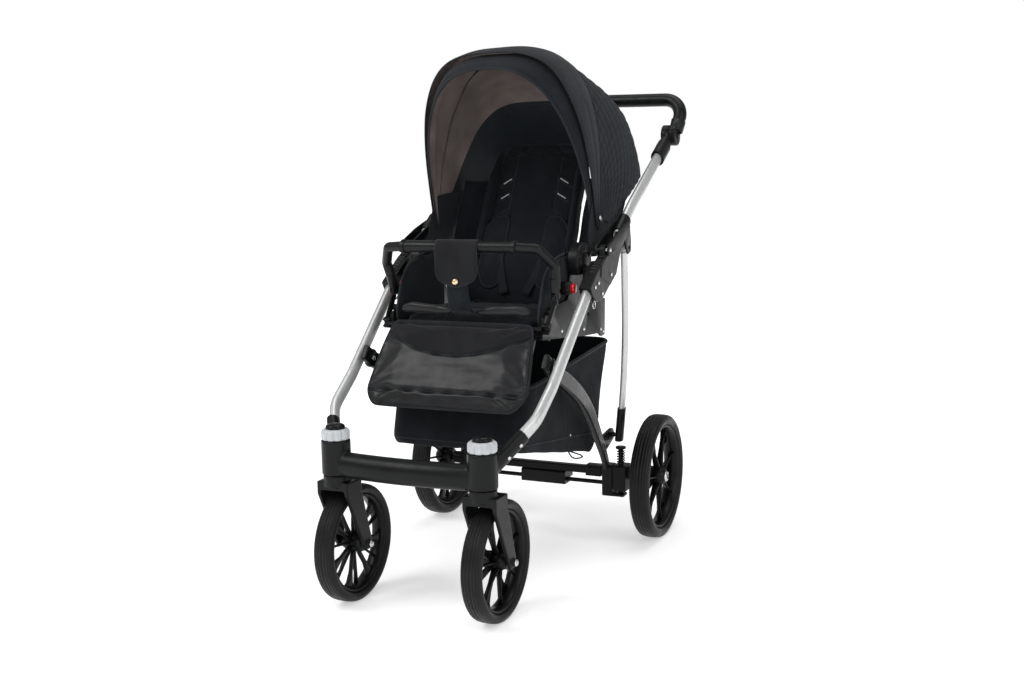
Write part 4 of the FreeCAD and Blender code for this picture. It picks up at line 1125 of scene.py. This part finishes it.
def make_seat():
    outline = rounded_outline([(-152, -104), (152, -104), (156, 0), (150, 108), (-150, 108), (-156, 0)], 30)
    pad = slab("seat_cushion", outline, on_side, 541, 562, "seat_fabric")
    pad = inflated(pad, 0.011, held=lambda p: p[2] < 0.5445)
    pressed(pad, on_side, lambda u, v: groove(np.abs(u) - 60, 3.0, 6.0) + groove(v + 20, 3.0, 6.0), 552)
    soften_noise(pad, 0.05, 0.002, 4.0)
    finish_pad(pad, "seat", "fabric", 0.7, "seat_pad")
    for s, side in ((1, "left"), (-1, "right")):
        roll = slab("seat_front_roll_" + side, rounded_outline([(s * 30, -8), (s * 146, -8), (s * 152, 6), (s * 128, 16),
                                                                (s * 60, 12), (s * 30, 4)], 8),
                    lambda u, v, w: at(u, -112 + w, 576 + v), -6, 10, "leatherette")
        roll = inflated(roll, 0.007, 0.004)
        soften_noise(roll, 0.03, 0.0025, 20.0 + s)
        finish_pad(roll, "seat", "leatherette", 0.5)
    make_side_panels()


def make_side_panels():
    corners = [(-106, 545), (-108, 575), (-82, 640), (-48, 672), (12, 686), (92, 690), (106, 640), (108, 548)]
    for s, side in ((1, "left"), (-1, "right")):
        def place(u, v, w, s=s):
            return at(s * (168 - w), u, v)
        panel = slab("seat_side_" + side, rounded_outline(corners, 26), place, 0, 5, "seat_fabric")
        panel = inflated(panel, 0.004, 0.004)
        soften_noise(panel, 0.045, 0.0016, 30 + s)
        rim = rounded_outline(corners, 26, 3)
        piping = tube_object("seat_side_piping_" + side, [place(u, v, 3) for u, v in rim], 0.0024, "piping", True)
        finish_pad(panel, "seat", "fabric", 0.5, *(("side_panels",) if s == 1 else ()))
        finish_trim(piping, "seat")


def smile(u):
    """How far down the legrest the curved seam lies at u across."""
    return 76.0 - 55.0 * (np.asarray(u) / 170.0) ** 2


def make_legrest():
    corners = [(-160, -4), (160, -4), (172, 60), (182, 150), (158, 188), (-160, 190), (-182, 158), (-172, 60)]
    pad = slab("legrest_cushion", rounded_outline(corners, 16), on_leg, 0.5, 15, "suede")
    pad = inflated(pad, 0.008, 0.005, held=behind(on_leg, 8.5))

    def seams(u, v):
        pucker = 1.0 + 0.35 * np.sin(u / 7.5)
        return (groove(v - smile(u), 4.2, 3.6) * pucker + groove(v - 157 + 0.004 * u, 5.0, 4.0) * pucker
                + groove(v - 6, 3.0, 4.0))
    pressed(pad, on_leg, seams, 8)
    wrinkle_legrest(pad)
    painted(pad, on_leg, ("leatherette",), lambda u, v, w: v > smile(u))
    trims = [seam_tube("seam", pad, on_leg, [(u, float(smile(u))) for u in np.linspace(-168, 168, 30)], 0.0009, "piping"),
             seam_tube("seam", pad, on_leg, line((-178, 157), (178, 157), 24), 0.0009, "piping")]
    rim = rounded_outline(corners, 16, 3)
    trims.append(tube_object("rim", [on_leg(u, v, 7) for u, v in rim], 0.0028, "piping", True))
    finish_pad(pad, "legrest", "leatherette", 0.6, "legrest_pad")
    finish_trim(joined("legrest_piping", trims), "legrest")


def wrinkle_legrest(pad):
    """Soft creases that fan out from the lower corners and along the seams."""
    local = local_coordinates(pad, on_leg)
    u, v, w = local.T
    face = np.clip((w - 8) / 4.0, 0, 1)
    fan = np.zeros(len(u))
    for cu, cv, spread, seed in ((-182, 150, 120, 1.0), (182, 146, 130, 2.0)):
        angle = np.arctan2(v - cv, u - cu)
        far = np.hypot(u - cu, v - cv)
        fan += np.sin(angle * 9 + seed * 2.1) * np.exp(-(far / spread) ** 2) * np.clip(far / 25, 0, 1)
    slow = np.array([noise.noise(Vector((a / 60, b / 26, 3.0))) for a, b in zip(u, v)])
    low = np.clip((v - smile(u)) / 12, 0, 1)
    rise = face * (1.2 * fan * low + 2.2 * slow * low + 1.0 * slow * (1 - low))
    front = np.array(on_leg(0, 0, 1)) - np.array(on_leg(0, 0, 0))
    set_coordinates(pad, coordinates(pad) + rise[:, None] * front)


# ---------------------------------------------------------------- bumper bar flap
BAR_Y, BAR_Z = -134.0, 711.0


def make_flap():
    half = 48.0
    path = [(BAR_Y + 15.2 * math.cos(math.radians(a)), BAR_Z + 15.2 * math.sin(math.radians(a)))
            for a in np.linspace(-25, 180, 20)]
    path += [(BAR_Y - 15.2 + 0.6 * math.sin(k / 4.0), BAR_Z - 82.0 * k / 18) for k in range(1, 19)]
    rows = []
    for i, (y, z) in enumerate(path):
        down = BAR_Z - z if i >= 20 else 0.0
        end = max(0.0, (down - 42.0) / 40.0)
        width = half * math.sqrt(max(0.02, 1 - end ** 2.4)) if end > 0 else half
        sag = 2.6 * max(0.0, down / 82.0)
        rows.append([(u * width, y - sag * math.cos(u * 2.2) + 1.0 * math.sin(u * 4 + z / 9.0) * (down > 8),
                      z) for u in np.linspace(-1, 1, 21)])
    points = to_frame(np.array(rows))
    flap = sheet_object("crotch_flap_cloth", points, 0.0022, "suede", "seat_fabric")
    fix_outward(flap)
    width, length, area = sheet_size(points)
    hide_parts("crotch_flap")
    finish_trim(flap, "bumper")
    edge = [tuple(r[0]) for r in points[:-2]] + [tuple(points[-1][k]) for k in range(2, 19, 4)] + [tuple(r[-1]) for r in points[-3::-1]]
    finish_trim(tube_object("flap_binding", edge[20:-20], 0.0013, "piping"), "bumper")
    snap = rivet("flap_snap", at(0, BAR_Y - 19.5, BAR_Z - 71), (0, -1, 0), 0.0068, "brass", 0.003)
    finish_trim(snap, "bumper")
    tongue = spline_points([at(0, -147.5, 650), at(0, -144.0, 628), at(0, -139.0, 600), at(0, -132.0, 582),
                            at(0, -118.0, 573), at(0, -98.0, 572)], 26)
    rows = []
    for i, p in enumerate(tongue):
        w = 0.0235 + 0.003 * i / 25
        rows.append([(k * w, p.y - 0.0016 * math.cos(k * 1.4) + 0.0008 * math.sin(5 * k + i / 3.0), p.z + 0.0006 * math.cos(k * 1.4))
                     for k in np.linspace(-1, 1, 11)])
    points = np.array(rows)
    tongue_obj = sheet_object("crotch_strap_cloth", points, 0.003, "seat_fabric", "seat_fabric")
    fix_outward(tongue_obj)
    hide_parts("crotch_strap")
    finish_trim(tongue_obj, "seat")
    width, length, area = sheet_size(points)


def fix_outward(obj):
    recalculate(obj)
    return obj


# ---------------------------------------------------------------- basket
BASKET = [(-172, 258, 134, 304, 206), (-180, 266, 143, 300, 205), (-184, 282, 148, 308, 232), (-183, 294, 150, 322, 272),
          (-160, 308, 154, 388, 350), (-150, 344, 158, 424, 462)]
BASKET_TIMES = [0.0, 0.12, 0.25, 0.4, 0.68, 1.0]


def basket_ring(values, columns):
    """A rounded rectangle, lower or higher towards the back, evenly stepped."""
    y0, y1, half, z0, z1 = values
    corners = [(half, y0), (half, y1), (-half, y1), (-half, y0)]
    outline = np.array(rounded_outline(corners, 42, 8))
    outline = np.concatenate([outline, outline[:1]])
    length = np.concatenate([[0], np.cumsum(np.linalg.norm(np.diff(outline, axis=0), axis=1))])
    goal = np.linspace(0, length[-1], columns)
    x, y = (np.interp(goal, length, outline[:, k]) for k in (0, 1))
    return np.stack([x, y, z0 + (z1 - z0) * (y - y0) / (y1 - y0)], axis=-1)


def basket_point(t, columns):
    values = [smooth_between(t, np.array(BASKET_TIMES), np.array([s[k] for s in BASKET], float)) for k in range(5)]
    return basket_ring(values, columns)


def make_basket():
    columns = 181
    floor_ring = basket_point(0.0, columns)
    middle = floor_ring.mean(0) + np.array([0, 0, -3.0])
    rows = []
    for k in np.linspace(0.04, 0.93, 12):
        ring = middle + (floor_ring - middle) * k
        ring[:, 2] -= 5.0 * (1 - k * k)
        rows.append(ring)
    rows += [basket_point(t, columns) for t in np.linspace(0, 1, 42)]
    points = np.array(rows)
    wall = np.clip((np.arange(len(rows)) - 13) / 40.0, 0, 1)[:, None]
    bulge = 3.0 * np.sin(np.pi * np.clip(wall * 1.2, 0, 1)) + 3.0 * fold_noise(points, 85.0, 6.0) * (wall > 0)
    normal = grid_normals(points)
    centre = points.mean((0, 1))
    sign = np.sign(np.sum(normal[30] * (points[30] - centre), axis=-1).mean())
    points = points + normal * sign * bulge[..., None]
    points[:, -1] = points[:, 0]
    flipped = points if sign > 0 else points[:, ::-1]
    shell = sheet_object("basket_cloth", to_frame(flipped), 0.0024, "mesh_fabric", "mesh_fabric")
    recalculate(shell)
    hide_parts("basket")
    finish_trim(shell, "chassis")
    trims = [tube_object("rim", [tuple(p) for p in to_frame(basket_point(1.0, 90))[:-1]], 0.0042, "piping", True)]
    trims.append(tube_object("seam", [tuple(p) for p in to_frame(points[13 + 12][:-1:2])], 0.0016, "piping", True))
    trims.append(tube_object("seam", [tuple(p) for p in to_frame(points[12][:-1:2])], 0.002, "piping", True))
    for s in (-1, 1):
        pocket = [(28, 392), (44, 345), (60, 298), (76, 255), (96, 226), (140, 214), (215, 208), (272, 210)]
        track = []
        for y, z in pocket:
            hit, point, _, _ = shell.ray_cast(at(s * 400, y, z), Vector((-s, 0, 0)))
            track.append(point if hit else at(s * 152, y, z))
        trims.append(tube_object("pocket", track, 0.0017, "piping"))
    finish_trim(joined("basket_piping", trims), "chassis")
    tabs = []
    for x in (-49, 49):
        hit, point, _, _ = shell.ray_cast(at(x, -600, 296), Vector((0, 1, 0)))
        tabs.append(rivet("tab", point + Vector((0, -0.0008, 0)), (0, -1, -0.2), 0.0042))
    for s in (-1, 1):
        hit, point, _, _ = shell.ray_cast(at(s * 400, 96, 279), Vector((-s, 0, 0)))
        tabs.append(rivet("tab", point, (s, 0, 0), 0.003))
    finish_trim(joined("basket_rivets", tabs), "chassis")


# ---------------------------------------------------------------- stage
def make_stage():
    """Pale floor, soft studio light and the camera."""
    floor = bpy.data.materials.new("pale_floor")
    floor.use_nodes = True
    shader = floor.node_tree.nodes["Principled BSDF"]
    shader.inputs["Base Color"].default_value = (0.85, 0.85, 0.85, 1.0)
    shader.inputs["Roughness"].default_value = 0.9
    shader.inputs["Specular IOR Level"].default_value = 0.1
    shader.inputs["Emission Color"].default_value = (1.0, 1.0, 1.0, 1.0)
    nodes, links = floor.node_tree.nodes, floor.node_tree.links
    reach = nodes.new("ShaderNodeVectorMath")
    reach.operation = "LENGTH"
    links.new(nodes.new("ShaderNodeTexCoord").outputs["Object"], reach.inputs[0])
    glow = nodes.new("ShaderNodeMapRange")
    for socket, value in (("From Min", 0.8), ("From Max", 2.6), ("To Min", 0.45), ("To Max", 1.0)):
        glow.inputs[socket].default_value = value
    links.new(reach.outputs["Value"], glow.inputs["Value"])
    links.new(glow.outputs["Result"], shader.inputs["Emission Strength"])
    mesh = bpy.data.meshes.new("floor")
    mesh.from_pydata([(-30, -30, 0), (30, -30, 0), (30, 30, 0), (-30, 30, 0)], [], [(0, 1, 2, 3)])
    mesh.materials.append(floor)
    ground = bpy.data.objects.new("floor", mesh)
    bpy.context.scene.collection.objects.link(ground)
    world = bpy.data.worlds.new("studio")
    world.use_nodes = True
    background = world.node_tree.nodes["Background"]
    background.inputs["Color"].default_value = (1.0, 1.0, 1.0, 1.0)
    seen = world.node_tree.nodes.new("ShaderNodeLightPath").outputs["Is Camera Ray"]
    level = world.node_tree.nodes.new("ShaderNodeMapRange")
    level.inputs["To Min"].default_value = 0.35
    level.inputs["To Max"].default_value = 1.0
    world.node_tree.links.new(seen, level.inputs["Value"])
    world.node_tree.links.new(level.outputs["Result"], background.inputs["Strength"])
    bpy.context.scene.world = world
    look_at = Vector((0, 0, 0.6))
    for name, place, size, power in (("key", (-2.2, -2.6, 3.4), 2.2, 95.0), ("fill", (3.2, -1.6, 2.2), 2.4, 45.0),
                                     ("top", (0.3, 0.6, 4.2), 2.6, 60.0), ("front", (0.8, -4.2, 1.6), 2.0, 28.0)):
        lamp = bpy.data.lights.new(name, "AREA")
        lamp.energy = power
        lamp.size = size
        holder = bpy.data.objects.new(name, lamp)
        holder.location = place
        holder.rotation_mode = "QUATERNION"
        holder.rotation_quaternion = (look_at - Vector(place)).to_track_quat("-Z", "Y")
        bpy.context.scene.collection.objects.link(holder)
    camera = bpy.data.cameras.new("camera")
    camera.sensor_width = 36.0
    camera.lens = 42.05
    camera.clip_end = 100.0
    holder = bpy.data.objects.new("camera", camera)
    azimuth, elevation, roll = math.radians(24.67), math.radians(8.221), math.radians(-0.982)
    target = at(55.7, 0, 496.2)
    back = Vector((math.sin(azimuth) * math.cos(elevation), -math.cos(azimuth) * math.cos(elevation),
                   math.sin(elevation)))
    right = (-back).cross(Vector((0, 0, 1))).normalized()
    up = right.cross(-back)
    across = right * math.cos(roll) + up * math.sin(roll)
    upward = up * math.cos(roll) - right * math.sin(roll)
    turn = Matrix((across, upward, back)).transposed().to_4x4()
    holder.matrix_world = Matrix.Translation(target + back * 2.5836) @ turn
    bpy.context.scene.collection.objects.link(holder)
    bpy.context.scene.camera = holder
    bpy.context.scene.view_settings.view_transform = "Standard"


make_moulded()
finish_cad_nodes()
make_wheels()
make_knobs()
make_springs()
make_bolts()
make_hood()
make_backrest()
make_seat()
make_legrest()
make_flap()
make_basket()
make_stage()
